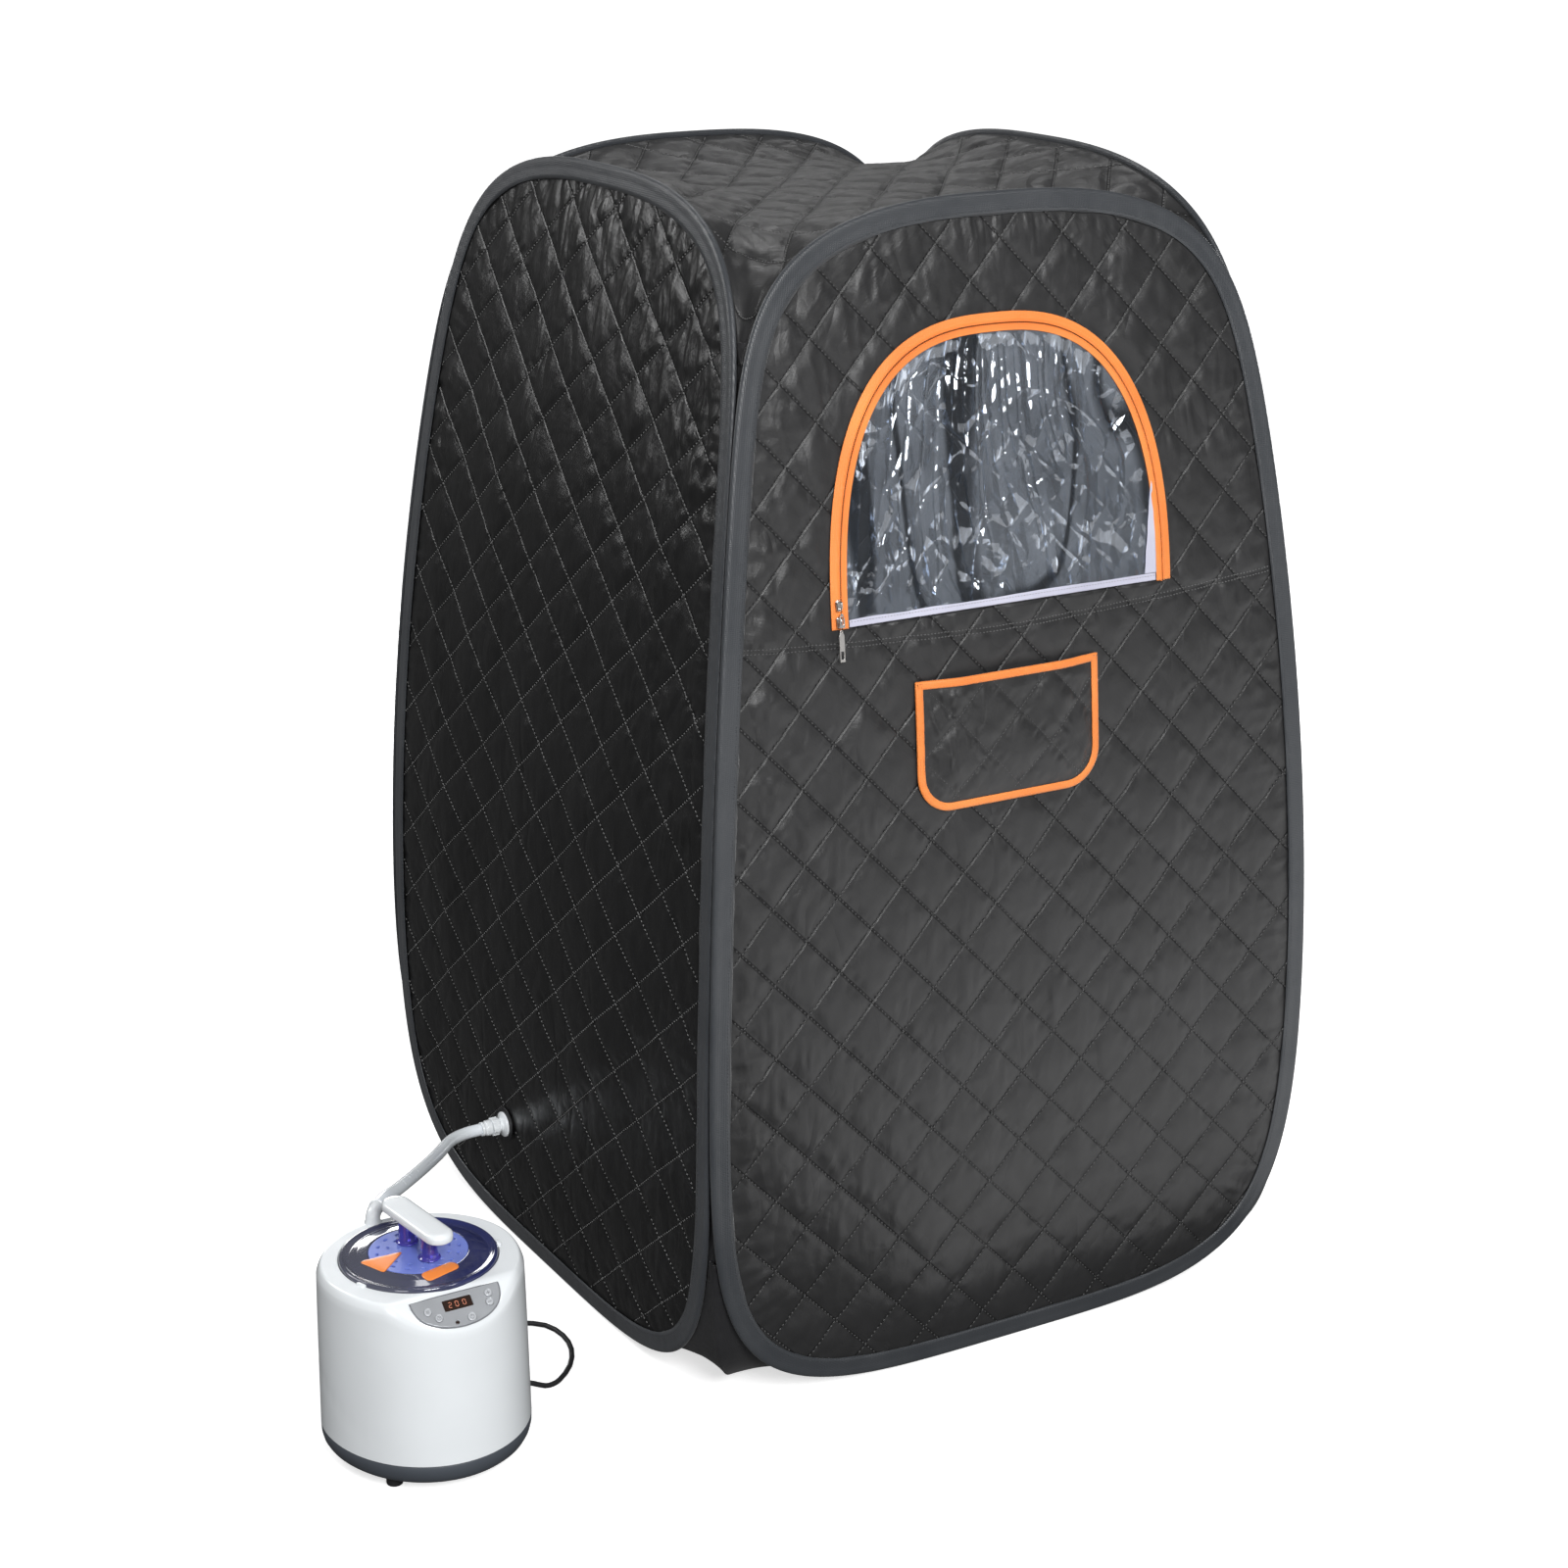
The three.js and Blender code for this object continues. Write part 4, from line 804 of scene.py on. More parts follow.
def hoop_powers(up):
    """The outline's two powers: those of the rounder top where up holds, else those of the squarer foot."""
    return np.where(up, TOP_POWER[1], BOTTOM_POWER[1]), np.where(up, TOP_POWER[0], BOTTOM_POWER[0])


def hoop_half(wall, steps=3000):
    """Right half of a hoop's outer line as (u, z), bottom middle to top middle."""
    half, height, _ = WALLS[wall]
    rise = np.sin((np.arange(steps + 1) / steps - 0.5) * np.pi)
    up = rise > 0
    z = SHOULDER_Z + rise * np.where(up, height - SHOULDER_Z, SHOULDER_Z)
    power_up, power_across = hoop_powers(up)
    across = np.maximum(0, 1 - np.abs(rise) ** power_up) ** (1 / power_across)
    return np.stack([across * half(z), z], -1)


def hoop_line(wall, steps=3000):
    """The whole of a hoop's outer line, anticlockwise from its bottom middle."""
    right = hoop_half(wall, steps)
    return np.concatenate([right, right[1:-1][::-1] * [-1, 1]])


def loop_of(wall, count):
    """Points round a hoop and the inward direction at each, both as (u, z)."""
    line = resample(hoop_line(wall), count, closed=True)
    return line, inward_of(line, closed=True)


def inward_of(line, closed):
    if closed:
        along = np.roll(line, -1, 0) - np.roll(line, 1, 0)
    else:
        along = np.gradient(line, axis=0)
    along = along / np.linalg.norm(along, axis=1)[:, None]
    return np.stack([-along[:, 1], along[:, 0]], -1)


def distance_to(u, z, line):
    """Distance from each point to a dense polyline, and how far along the line its nearest point is."""
    run = run_of(line)
    flat = np.stack([np.ravel(u), np.ravel(z)], -1)
    near, where = np.empty(len(flat)), np.empty(len(flat))
    for start in range(0, len(flat), 4000):
        part = flat[start : start + 4000]
        square = ((part[:, None] - line[None]) ** 2).sum(-1)
        best = square.argmin(1)
        near[start : start + 4000] = np.sqrt(square[np.arange(len(part)), best])
        where[start : start + 4000] = run[best]
    return near.reshape(np.shape(u)), where.reshape(np.shape(u))


# Quilting: where two stitch lines cross, as (u, z), and half of each diamond's diagonals, as (u, z)
FRONT_DIAMOND, SIDE_DIAMOND = (1, 541, 42.7, 44.9), (-60, 930, 55, 43.6)
LATTICE = {"front": FRONT_DIAMOND, "right": SIDE_DIAMOND, "back": FRONT_DIAMOND, "left": SIDE_DIAMOND}
PITCH = 63.0  # from one stitch line to the next


def lattice_of(wall, u, z):
    u0, z0, half_u, half_z = LATTICE[wall]
    a = ((u - u0) / half_u + (z - z0) / half_z) / 2
    b = ((z - z0) / half_z - (u - u0) / half_u) / 2
    return a, b


def quilt_height(a, b, u, z, seed, creasing, puff):
    """How far quilted cloth stands out, in mm: domes between the stitch lines, with puckers along them."""
    da, db = (np.abs(value - np.round(value)) * PITCH for value in (a, b))
    dome = (1 - np.exp(-(np.sqrt(da * da + 4) - 2) / 7)) * (1 - np.exp(-(np.sqrt(db * db + 4) - 2) / 7))
    cell = field(np.floor(a) * 1.0, np.floor(b) * 1.0, 0.618, 0.618, seed)
    height = puff * dome * (1 + 0.22 * cell)
    near_a, near_b = np.exp(-((da / 11) ** 2)), np.exp(-((db / 11) ** 2))
    pucker_a = field(b * PITCH, np.round(a) * 7.3, 6.5, 1.0, seed + 1) * near_a * np.minimum(1, da / 3)
    pucker_b = field(a * PITCH, np.round(b) * 7.3, 6.5, 1.0, seed + 2) * near_b * np.minimum(1, db / 3)
    height += 1.3 * (pucker_a + pucker_b)
    creased = 1 - np.abs(field(u + 9 * field(u, z, 60, 60, seed + 3), z, 13, 70, seed + 4))
    strength = smooth(field(u, z, 120, 140, seed + 5), -0.2, 0.7)
    height += 2.6 * creasing * strength * dome * (creased**4 - 0.3)
    height += (0.3 + 0.9 * creasing) * dome * field(u, z, 15, 24, seed + 6)
    return height


ROWS, COLUMNS = ((380, 230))


def even_rows(line, count):
    """count points (u, z) up a line, spaced by height in its middle and by its own run at its flat ends."""
    line = line[np.concatenate([[True], np.diff(np.maximum.accumulate(line[:, 1])) > 0])]
    run = run_of(line)
    share = 0.5 * (line[:, 1] - line[0, 1]) / (line[-1, 1] - line[0, 1]) + 0.5 * run / run[-1]
    row = np.interp(np.linspace(0, 1, count), share, np.arange(len(line)))
    return (np.interp(row, np.arange(len(line)), line[:, k]) for k in (0, 1))


def wall_grid(wall):
    """A grid of (u, z) whose outer edge lies on the hoop's line moved in by the quilt's inset."""
    line = hoop_half(wall)
    line = line + inward_of(line, closed=False) * QUILT_INSET
    line[0, 0] = line[-1, 0] = 0
    half, z = even_rows(line, ROWS)
    if wall == "front":
        z[np.abs(z - WINDOW["sill"]).argmin()] = WINDOW["sill"]
    return half[:, None] * np.linspace(-1, 1, COLUMNS)[None, :], np.repeat(z[:, None], COLUMNS, 1)


# ------------------------------------------------------------------ openings in the walls


def window_line(inset=0.0, steps=400):
    """The window's arch moved in by inset, from the left end of its sill over the top to the right end."""
    angle = np.linspace(0, np.pi / 2, steps)
    across = np.cos(angle) ** (2 / WINDOW["power"]) * WINDOW["half"]
    up = WINDOW["sill"] + np.sin(angle) ** (2 / WINDOW["power"]) * WINDOW["rise"]
    right = resample(np.stack([across, up], -1), steps)
    inward = inward_of(right, closed=False)
    inward[0] = (-1, 0)
    inward[-1] = (0, -1)
    right = right + inward * inset
    right[-1, 0] = 0
    left = right[:-1] * [-1, 1]
    return np.concatenate([left, right[::-1]]) + [WINDOW["middle"], 0]


def window_depth(u, z):
    """How far inside the window's outer line each point is; below zero outside."""
    across = np.abs(u - WINDOW["middle"]) / WINDOW["half"]
    up = np.maximum(z - WINDOW["sill"], 0) / WINDOW["rise"]
    inside = (across ** WINDOW["power"] + up ** WINDOW["power"] < 1) & (z > WINDOW["sill"])
    away, _ = distance_to(u, z, window_line())
    return np.where(inside, away, -away)


def pocket_line(spread):
    """The pocket's outline as (u, z), moved out by spread: from its top right corner down, round and up."""
    half, radius = POCKET["half"] + spread, POCKET["corner"] + spread
    low = POCKET["bottom"] - spread
    turn = np.linspace(0, -np.pi / 2, 24)
    corner = np.stack([half - radius + radius * np.cos(turn), low + radius + radius * np.sin(turn)], -1)
    right = np.concatenate([[(half, POCKET["top"])], corner])
    line = np.concatenate([right, right[::-1] * [-1, 1]]) + [POCKET["middle"], 0]
    return resample(line, 560, closed=True)


def pocket_depth(u, z):
    """How far inside the pocket's outline each point is; below zero outside."""
    across = POCKET["half"] - np.abs(u - POCKET["middle"])
    up = np.minimum(z - POCKET["bottom"], POCKET["top"] - z)
    corner_x = POCKET["corner"] - across
    corner_z = POCKET["corner"] - (z - POCKET["bottom"])
    in_corner = (corner_x > 0) & (corner_z > 0)
    rounded_off = POCKET["corner"] - np.hypot(corner_x, corner_z)
    return np.where(in_corner, np.minimum(rounded_off, up), np.minimum(across, up))


def seam_z(u):
    """Height of the seam under the window, which rises a little to both sides."""
    return 913 + 17 * (np.abs(u - WINDOW["middle"]) / 350) ** 1.6


# ------------------------------------------------------------------ quilted walls

SEED = {"front": 3, "left": 21, "back": 41, "right": 61}
GROOVE = 0.6  # height of the stitch lines above the wall's middle, mm


def relief(wall, u, z):
    """Outward offset of a wall's outer cloth and of its lining, in mm, at each (u, z)."""
    seed = SEED[wall]
    hoop = hoop_line(wall, 500)
    depth, along = distance_to(u, z, np.concatenate([hoop, hoop[:1]]))
    a, b = lattice_of(wall, u, z)
    loft = smooth(depth, TAPE_WIDTH - 3, TAPE_WIDTH + 26)
    puff = quilt_height(a, b, u, z, seed, CREASING[wall](u, z), PUFF[wall])
    gather = field(along, depth * 0.15, 10.5, 9.0, seed + 7) + 0.5 * field(along, depth * 0.3, 5.5, 9.0, seed + 8)
    gather *= 2.3 * smooth(depth, TAPE_WIDTH - 2, TAPE_WIDTH + 6) * np.exp(-np.maximum(depth - TAPE_WIDTH, 0) / 32)
    slack = 3.2 * smooth(depth, TAPE_WIDTH, 150) * field(u, z, 150, 210, seed + 9)
    slack += 1.3 * smooth(depth, TAPE_WIDTH, 90) * field(u, z, 55, 110, seed + 10)
    height = GROOVE + loft * puff + gather
    free = np.ones(np.shape(u))
    if wall == "front":
        seam = np.exp(-(((z - seam_z(u)) / 3.5) ** 2))
        pinch = field(u, z * 0, 7.5, 1.0, seed + 12) * np.exp(-np.abs(z - seam_z(u)) / 16)
        height = height * (1 - 0.8 * seam) + 1.2 * pinch * (1 - seam)
        rim = window_depth(u, z)
        free = np.minimum(smooth(-rim, 3, 26), np.maximum(smooth(-pocket_depth(u, z), 2, 20), 0))
        tug = field(u + z, u - z, 8, 14, seed + 13) * smooth(-rim, 2, 8) * np.exp(-np.maximum(-rim, 0) / 16)
        height = height + 1.3 * tug
    if wall == "left":
        free = smooth(np.hypot(u + PORT["y"], z - PORT["z"]), 25, 44)
    height = free * height + (1 - free) * np.minimum(height, 1.6)
    height = np.where(depth < TAPE_WIDTH, np.minimum(height, 1.7), height)
    outer = height + slack * free
    lining = slack * free - 1.6 - 0.4 * loft * (np.maximum(puff, 0))
    lining = np.where(depth < TAPE_WIDTH + 4, np.maximum(lining, -1.9), lining)
    return outer, np.minimum(lining, outer - 1.0)


CREASING = {
    "front": lambda u, z: 0.5 + 0.5 * smooth(z - 0.5 * u, 300, 900),
    "left": lambda u, z: 0.15 + 1.0 * smooth(u + 0.25 * z, 250, 560),
    "back": lambda u, z: 0.3 + 0.4 * smooth(z, 500, 1200),
    "right": lambda u, z: 0.3 + 0.4 * smooth(z, 500, 1200),
}
PUFF = {"front": 3.4, "left": 2.3, "back": 3.4, "right": 3.0}


def snap_to(u, z, line, reach):
    """Grid points near a line are moved onto it, so that a cut along it is clean."""
    near, _ = distance_to(u, z, line)
    picked = near < reach
    points = np.stack([u[picked], z[picked]], -1)
    index = ((points[:, None] - line[None]) ** 2).sum(-1).argmin(1)
    u, z = u.copy(), z.copy()
    u[picked], z[picked] = line[index, 0], line[index, 1]
    return u, z


def cell_middles(u, z):
    return ((a[:-1, :-1] + a[1:, :-1] + a[:-1, 1:] + a[1:, 1:]) / 4 for a in (u, z))


WINDOW_CUT = 10.5  # from the window's outer line in to the cloth's cut edge


def make_wall(wall):
    u, z = wall_grid(wall)
    keep = None
    if wall == "front":
        hole = window_line(WINDOW_CUT)
        above = z > WINDOW["sill"] + 1
        su, sz = snap_to(u, z, hole, 2.0)
        u, z = np.where(above, su, u), np.where(above, sz, z)
        mu, mz = cell_middles(u, z)
        keep = ~((window_depth(mu, mz) > WINDOW_CUT) & (mz > WINDOW["sill"]))
    if wall == "left":
        ring = circle(PORT["hole"] + 0.6, -PORT["y"], PORT["z"], 96)
        u, z = snap_to(u, z, ring, 2.2)
        mu, mz = cell_middles(u, z)
        keep = np.hypot(mu + PORT["y"], mz - PORT["z"]) > PORT["hole"] + 0.6
    outer, lining = relief(wall, u, z)
    points, faces = thick_sheet(put(wall, u, z, outer), put(wall, u, z, lining), keep)
    # the left wall takes the darker copy of the satin, which is painted shade
    cloth = add_mesh(wall + "_quilt", points, faces, SHADED_SIDE_QUILT if wall == "left" else QUILT)
    mark_lattice(cloth, *lattice_of(wall, u, z), keep)
    attach(cloth, BODY[wall], wall + "_wall", slot="quilted_satin")
    sewn = make_wall_stitches(wall)
    tape = make_tape(wall)
    width, height = 2 * WALLS[wall][0](BELLY_Z) * MM, WALLS[wall][1] * MM
    line, _ = loop_of(wall, 600)


def sewn_line(path, pitch):
    """Stitch places along a (u, z) path, and the direction of the path at each."""
    run = run_of(path)
    at = np.arange(pitch / 2, run[-1], pitch)
    here, ahead = (np.stack([np.interp(at + step, run, path[:, k]) for k in (0, 1)], -1) for step in (0, 1))
    return here, ahead - here


def sewn_lattice(wall, reach, pitch, inside, shift=(0, 0)):
    """Stitch places and directions on every quilting line of a wall's lattice, where inside(u, z) holds."""
    u0, z0, half_u, half_z = LATTICE[wall]
    t = np.linspace(-reach, reach, 3)
    spots, ways = [], []
    count = int(reach / half_z)
    for k in range(-count, count + 1):
        for slope in (1, -1):
            path = np.stack([u0 + shift[0] + t / half_z * half_u * slope, z0 + shift[1] + t + 2 * k * half_z], -1)
            s, w = sewn_line(path, pitch)
            picked = inside(*s.T)
            spots.append(s[picked])
            ways.append(w[picked])
    return np.concatenate(spots), np.concatenate(ways)


def thread_along(wall, path, pitch, height, size):
    """Stitches along a (u, z) path on a wall, at a height or a height(u, z)."""
    spots, ways = sewn_line(path, pitch)
    return stitches(*on_wall(wall, spots, ways, height(*spots.T) if callable(height) else height), *size)


def on_wall(wall, spots, ways, height):
    """Places, directions and outward normals, in space, of spots and ways in (u, z) on a wall."""
    here = put(wall, spots[:, 0], spots[:, 1], height)
    there = put(wall, spots[:, 0] + ways[:, 0], spots[:, 1] + ways[:, 1], height)
    out = put(wall, spots[:, 0], spots[:, 1], height + 1) - here
    return here, there - here, out


def make_wall_stitches(wall):
    """Thread along every quilting line, and along the front's seam."""
    spots, ways = sewn_lattice(wall, 1600, 6.0, lambda u, z: (np.abs(u) < 480) & (z > 20) & (z < 1400))
    if wall == "front":
        across = np.linspace(-440, 440, 200)
        for shift in (-2.6, 2.6):
            s, w = sewn_line(np.stack([across, seam_z(across) + shift], -1), 4.6)
            spots, ways = np.concatenate([spots, s]), np.concatenate([ways, w])
    rough_inside = np.abs(spots[:, 0]) < WALLS[wall][0](spots[:, 1]) - 12
    spots, ways = spots[rough_inside], ways[rough_inside]
    u, z = spots.T
    line = np.concatenate([hoop_half(wall, 500), hoop_half(wall, 500)[::-1] * [-1, 1]])
    keep = inside_hoop(wall, u, z) & (distance_to(u, z, line)[0] > TAPE_WIDTH + 1)
    if wall == "front":
        keep &= (window_depth(u, z) < -1.5) & (pocket_depth(u, z) < -1)
    if wall == "left":
        keep &= np.hypot(u + PORT["y"], z - PORT["z"]) > 24
    spots, ways = spots[keep], ways[keep]
    outer, _ = relief(wall, *spots.T)
    points, faces = stitches(*on_wall(wall, spots, ways, outer + 0.55), 3.5, 2.1, 1.1)
    sewn = add_mesh(wall + "_quilt_stitches", points, faces, SIDE_THREAD if wall == "left" else THREAD, shade=False)
    return attach(sewn, BODY[wall])


def inside_hoop(wall, u, z):
    half, height, _ = WALLS[wall]
    up = z > SHOULDER_Z
    rise = np.where(up, (z - SHOULDER_Z) / (height - SHOULDER_Z), (SHOULDER_Z - z) / SHOULDER_Z)
    power_up, power_across = hoop_powers(up)
    return np.minimum(rise, 1) ** power_up + (np.abs(u) / half(z)) ** power_across < 1


# ------------------------------------------------------------------ folded edge tapes

# (distance in from the hoop's line, outward offset) of the tape's section, folded round the edge
TAPE_OUTER = rounded([(26, -2.7), (19, -3.1), (12, -3.0), (8, -3.7), (4.6, -3.95), (1.2, -3.1), (0, 0),
                      (1.2, 3.1), (4.6, 3.95), (8, 3.7), (12, 3.0), (19, 3.1), (26, 2.7)], 2.0, 2)
TAPE_INNER = np.array([(25.9, 1.9), (14, 2.0), (8.5, 2.5), (4.6, 2.9), (1.8, 1.6), (1.3, 0),
                       (1.8, -1.6), (4.6, -2.9), (8.5, -2.5), (14, -2.0), (25.9, -1.9)])


def make_tape(wall, count=760):
    line, inward = loop_of(wall, count)
    run = np.arange(count) / count
    rising = smooth(np.arange(40), 0, 39)
    waves = field(run * count * 5.2, run * 0, 31, 1, SEED[wall] + 14)
    waves[-40:] = waves[-40:] * (1 - rising) + waves[0] * rising
    inner = [put(wall, *(line + inward * r).T, n) for r, n in TAPE_INNER]
    outer = []
    for r, n in TAPE_OUTER:
        crinkle = field(run * 3900, run * 0 + r * 0.7, 9, 9, SEED[wall] + 15)
        crinkle[-40:] *= 1 - rising
        crinkle[:40] *= rising
        side = np.sign(n) if abs(n) > 0.1 else 0
        place = line + inward * (r + 1.1 * waves * (r > 24))[:, None]
        outer.append(put(wall, *place.T, n + side * 0.28 * (crinkle + 0.6) * (8 < r < 25)))
    parts = [rings_mesh(np.stack(outer + inner, 1), closed=True)]
    sewn = np.concatenate([line + inward * 21.5, (line + inward * 21.5)[:1]])
    for n in (3.25, -3.25):
        spots, ways = sewn_line(sewn, 4.4)
        where, along, out = on_wall(wall, spots, ways, n)
        parts.append(stitches(where, along, out * np.sign(n), 3.0, 0.8, 0.4))
    tape = join_meshes(wall + "_edge_binding", parts, [TAPE, SEAM_THREAD, SEAM_THREAD])
    return attach(tape, BODY[wall], wall + "_edge_tape", slot="edge_binding")


for each in WALLS:
    make_wall(each)

# ------------------------------------------------------------------ roof and floor sheets

CELLS = 168  # along each side of the roof's and the floor's grids
CELL_SIZE = 4.9  # mm, on average


def arc_beyond(wall, join_z, top):
    """The hoop's line above or below a height, from the wall's left to its right, evenly spaced."""
    line = hoop_half(wall)
    part = line[line[:, 1] > join_z] if top else line[line[:, 1] < join_z][::-1]
    edge = np.array([[WALLS[wall][0](join_z) - 1.0, join_z]])
    right = np.concatenate([edge, part])
    return resample(np.concatenate([right[:-1] * [-1, 1], right[::-1]]), CELLS)


def stretched(top, join_z, shift, clear):
    """A grid whose edges follow the four hoops and whose inside settles like a soap film."""
    lines = {}
    for wall in WALLS:
        arc = arc_beyond(wall, join_z, top)
        lines[wall] = put(wall, arc[:, 0], arc[:, 1] + shift, -clear)
    coarse = 24
    step = CELLS // coarse
    front, right, back, left = lines["front"], lines["right"], lines["back"][::-1], lines["left"][::-1]
    t = np.linspace(0, 1, CELLS + 1)
    s, t = t[None, :, None], t[:, None, None]
    grid = ((1 - t) * front[None] + t * back[None] + (1 - s) * left[:, None] + s * right[:, None]) / 2
    small = grid[::step, ::step].copy()
    small[0], small[-1], small[:, 0], small[:, -1] = front[::step], back[::step], left[::step], right[::step]
    for _ in range(1500):
        small[1:-1, 1:-1] = (small[:-2, 1:-1] + small[2:, 1:-1] + small[1:-1, :-2] + small[1:-1, 2:]) / 4
    at = np.arange(CELLS + 1) / step
    low = np.minimum(at.astype(int), coarse - 1)
    w = (at - low)[:, None]
    rows = small[low] * (1 - w[..., None]) + small[low + 1] * w[..., None]
    grid = rows[:, low] * (1 - w[None]) + rows[:, low + 1] * w[None]
    grid[0], grid[-1], grid[:, 0], grid[:, -1] = front, back, left, right
    for corner, (p, q) in {(0, 0): (front[0], left[0]), (0, -1): (front[-1], right[0]),
                           (-1, -1): (back[-1], right[-1]), (-1, 0): (back[0], left[-1])}.items():
        grid[corner] = (np.sign(p) * np.minimum(np.abs(p), np.abs(q)))
        grid[corner][2] = (p[2] + q[2]) / 2
    for _ in range(420):
        grid[1:-1, 1:-1] = (grid[:-2, 1:-1] + grid[2:, 1:-1] + grid[1:-1, :-2] + grid[1:-1, 2:]) / 4
    return grid


def sheet_normals(grid):
    across, deep = np.gradient(grid, axis=1), np.gradient(grid, axis=0)
    out = np.cross(across, deep)
    return out / np.linalg.norm(out, axis=-1)[..., None]


def edge_run():
    """How many mm each point of a roof or floor grid is from the sheet's nearest edge, roughly."""
    i = np.arange(CELLS + 1)
    near = np.minimum(i, CELLS - i)
    return np.minimum(near[:, None], near[None, :]) * CELL_SIZE


ROOF_DIAMOND = (FRONT_DIAMOND[2], SIDE_DIAMOND[2])


def make_roof():
    grid = stretched(True, ROOF_JOIN_Z, -8, 4.4)
    s = np.linspace(-1, 1, CELLS + 1)
    grid[..., 2] -= 22 * (1 - s[None, :] ** 2) * (1 - s[:, None] ** 2)
    normal, depth = sheet_normals(grid), edge_run()
    x, y = grid[..., 0], grid[..., 1]
    a, b = (x / ROOF_DIAMOND[0] + y / ROOF_DIAMOND[1]) / 2, (y / ROOF_DIAMOND[1] - x / ROOF_DIAMOND[0]) / 2
    puff = quilt_height(a, b, x, y, 83, 0.8, 4.2)
    ring = np.arctan2(y, x) * 420
    gather = 3.0 * field(ring, depth * 0.2, 12, 9, 90) * np.exp(-depth / 34) * smooth(depth, 0, 10)
    sag = 5 * field(x, y, 130, 130, 91) * smooth(depth, 10, 120)
    height = GROOVE + puff * smooth(depth, 4, 34) + gather + sag
    inner = sag - 2.0
    upper = grid + normal * height[..., None]
    points, faces = thick_sheet(upper, grid + normal * np.minimum(inner, height - 1)[..., None])
    roof = add_mesh("roof_quilt", points, faces, QUILT)
    mark_lattice(roof, a, b)
    attach(roof, "front_wall", "roof_sheet", slot="quilted_satin")
    sewn = make_roof_stitches(upper, normal, a, b, depth)
    for piece in (roof, sewn):
        fold_away(piece)


def make_roof_stitches(upper, normal, a, b, depth):
    """Thread where the quilting lines cross the roof's grid lines, at even steps."""
    places, ways, outs = [], [], []
    for value, other in ((a, 1), (b, -1)):
        for k in range(int(np.floor(value.min())), int(np.ceil(value.max())) + 1):
            j, i = np.nonzero(((value[:, :-1] - k) * (value[:, 1:] - k) < 0) & (depth[:, :-1] > 6))
            share = ((k - value[j, i]) / (value[j, i + 1] - value[j, i]))[:, None]
            places.append(upper[j, i] * (1 - share) + upper[j, i + 1] * share)
            outs.append(normal[j, i])
            ways.append(np.tile([ROOF_DIAMOND[0], -ROOF_DIAMOND[1] * other, 0.0], (len(j), 1)))
    places, outs, ways = (np.concatenate(v) for v in (places, outs, ways))
    ways = ways - outs * (ways * outs).sum(-1)[:, None]
    points, faces = stitches(places + outs * 0.5, ways, outs, 3.5, 2.0, 1.0)
    return attach(add_mesh("roof_quilt_stitches", points, faces, THREAD, shade=False), "front_wall")


def fold_away(piece):
    """The roof or floor gets a mesh of its own."""
    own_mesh(piece)


def make_floor():
    grid = stretched(False, FLOOR_JOIN_Z, 8, 4.4)
    s = np.linspace(-1, 1, CELLS + 1)
    rim = np.maximum(np.abs(s)[None, :], np.abs(s)[:, None]) ** 8
    lift = grid[..., 2] * np.where(rim < 0.02, 0, rim)
    x, y, depth = grid[..., 0], grid[..., 1], edge_run()
    crease = 1.6 * (1 - np.abs(field(x, y, 45, 60, 95))) ** 6 * smooth(depth, 8, 60)
    grid[..., 2] = np.maximum(lift, 0.4) + crease
    grid[0, :, 2], grid[-1, :, 2] = np.maximum(grid[0, :, 2], 2), np.maximum(grid[-1, :, 2], 2)
    upper = grid + [0, 0, 1.6]
    points, faces = thick_sheet(upper, grid)
    base = add_mesh("floor_cloth", points, faces, LINING)
    attach(base, "front_wall", "floor_sheet", slot="quilted_satin")
    fold_away(base)


make_roof()
make_floor()

# ------------------------------------------------------------------ corner gussets between the hoops

# signs of x and y, and the two bodies that the corner's cloth joins
GUSSETS = {
    "front_left": (-1, -1, "front_wall", "left_side"),
    "front_right": (1, -1, "front_wall", "right_side"),
    "back_left": (-1, 1, "left_side", "back_side"),
    "back_right": (1, 1, "back_side", None),
}


def make_gusset(corner):
    """A narrow fold of cloth inside a corner, from one tape's inner face to the next one's."""
    sign_x, sign_y, first, second = GUSSETS[corner]
    heights = np.linspace(FLOOR_JOIN_Z - 20, ROOF_JOIN_Z + 14, 150)
    turn = np.linspace(0, np.pi / 2, 9)
    rings = []
    for z in heights:
        away_x, away_y = side_x(z) - 4.6, front_y(z) - 4.6
        reach = 15 + 0.8 * field(z, 0.0, 14, 1, 97)
        across = away_x - reach * (1 - np.cos(turn)) - 0.2
        deep = away_y - reach * (1 - np.sin(turn)) - 0.2
        rings.append(np.stack([sign_x * across, sign_y * deep, np.full(len(turn), z)], -1))
    outer = np.array(rings)
    inner = outer + [-sign_x * 0.8, -sign_y * 0.8, 0]
    points, faces = thick_sheet(outer, inner)
    strip = add_mesh("corner_gusset_" + corner, points, faces, LINING)
    fix_outward(strip)
    if second is None:
        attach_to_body(strip, first)
        return
    z, reach = 700, 18
    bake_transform(strip)


for each in GUSSETS:
    make_gusset(each)

# ------------------------------------------------------------------ window: zip, film, hem, sliders

ZIP_BASE = FACE + 0.1
THREAD_SIZE = (2.5, 0.7, 0.35)  # length, width and height of the orange stitches


def arch_frame(inset, steps=420):
    """Points of the window's line moved in by inset, with the inward direction at each."""
    line = window_line(inset, steps)
    inward = -inward_of(line, closed=False)
    inward[0], inward[-1] = (1, 0), (-1, 0)
    return line, inward


def arch_ribbon(section):
    """A strip swept along the window's arch: section holds (inset, outward) points."""
    line, inward = arch_frame(0, 260)
    rings = [put("front", *(line + inward * r).T, np.full(len(line), n)) for r, n in section]
    return rings_mesh(np.stack(rings, 1))


def arch_thread(inset, n):
    line, inward = arch_frame(0, 420)
    return thread_along("front", line + inward * inset, 3.6, n, THREAD_SIZE)


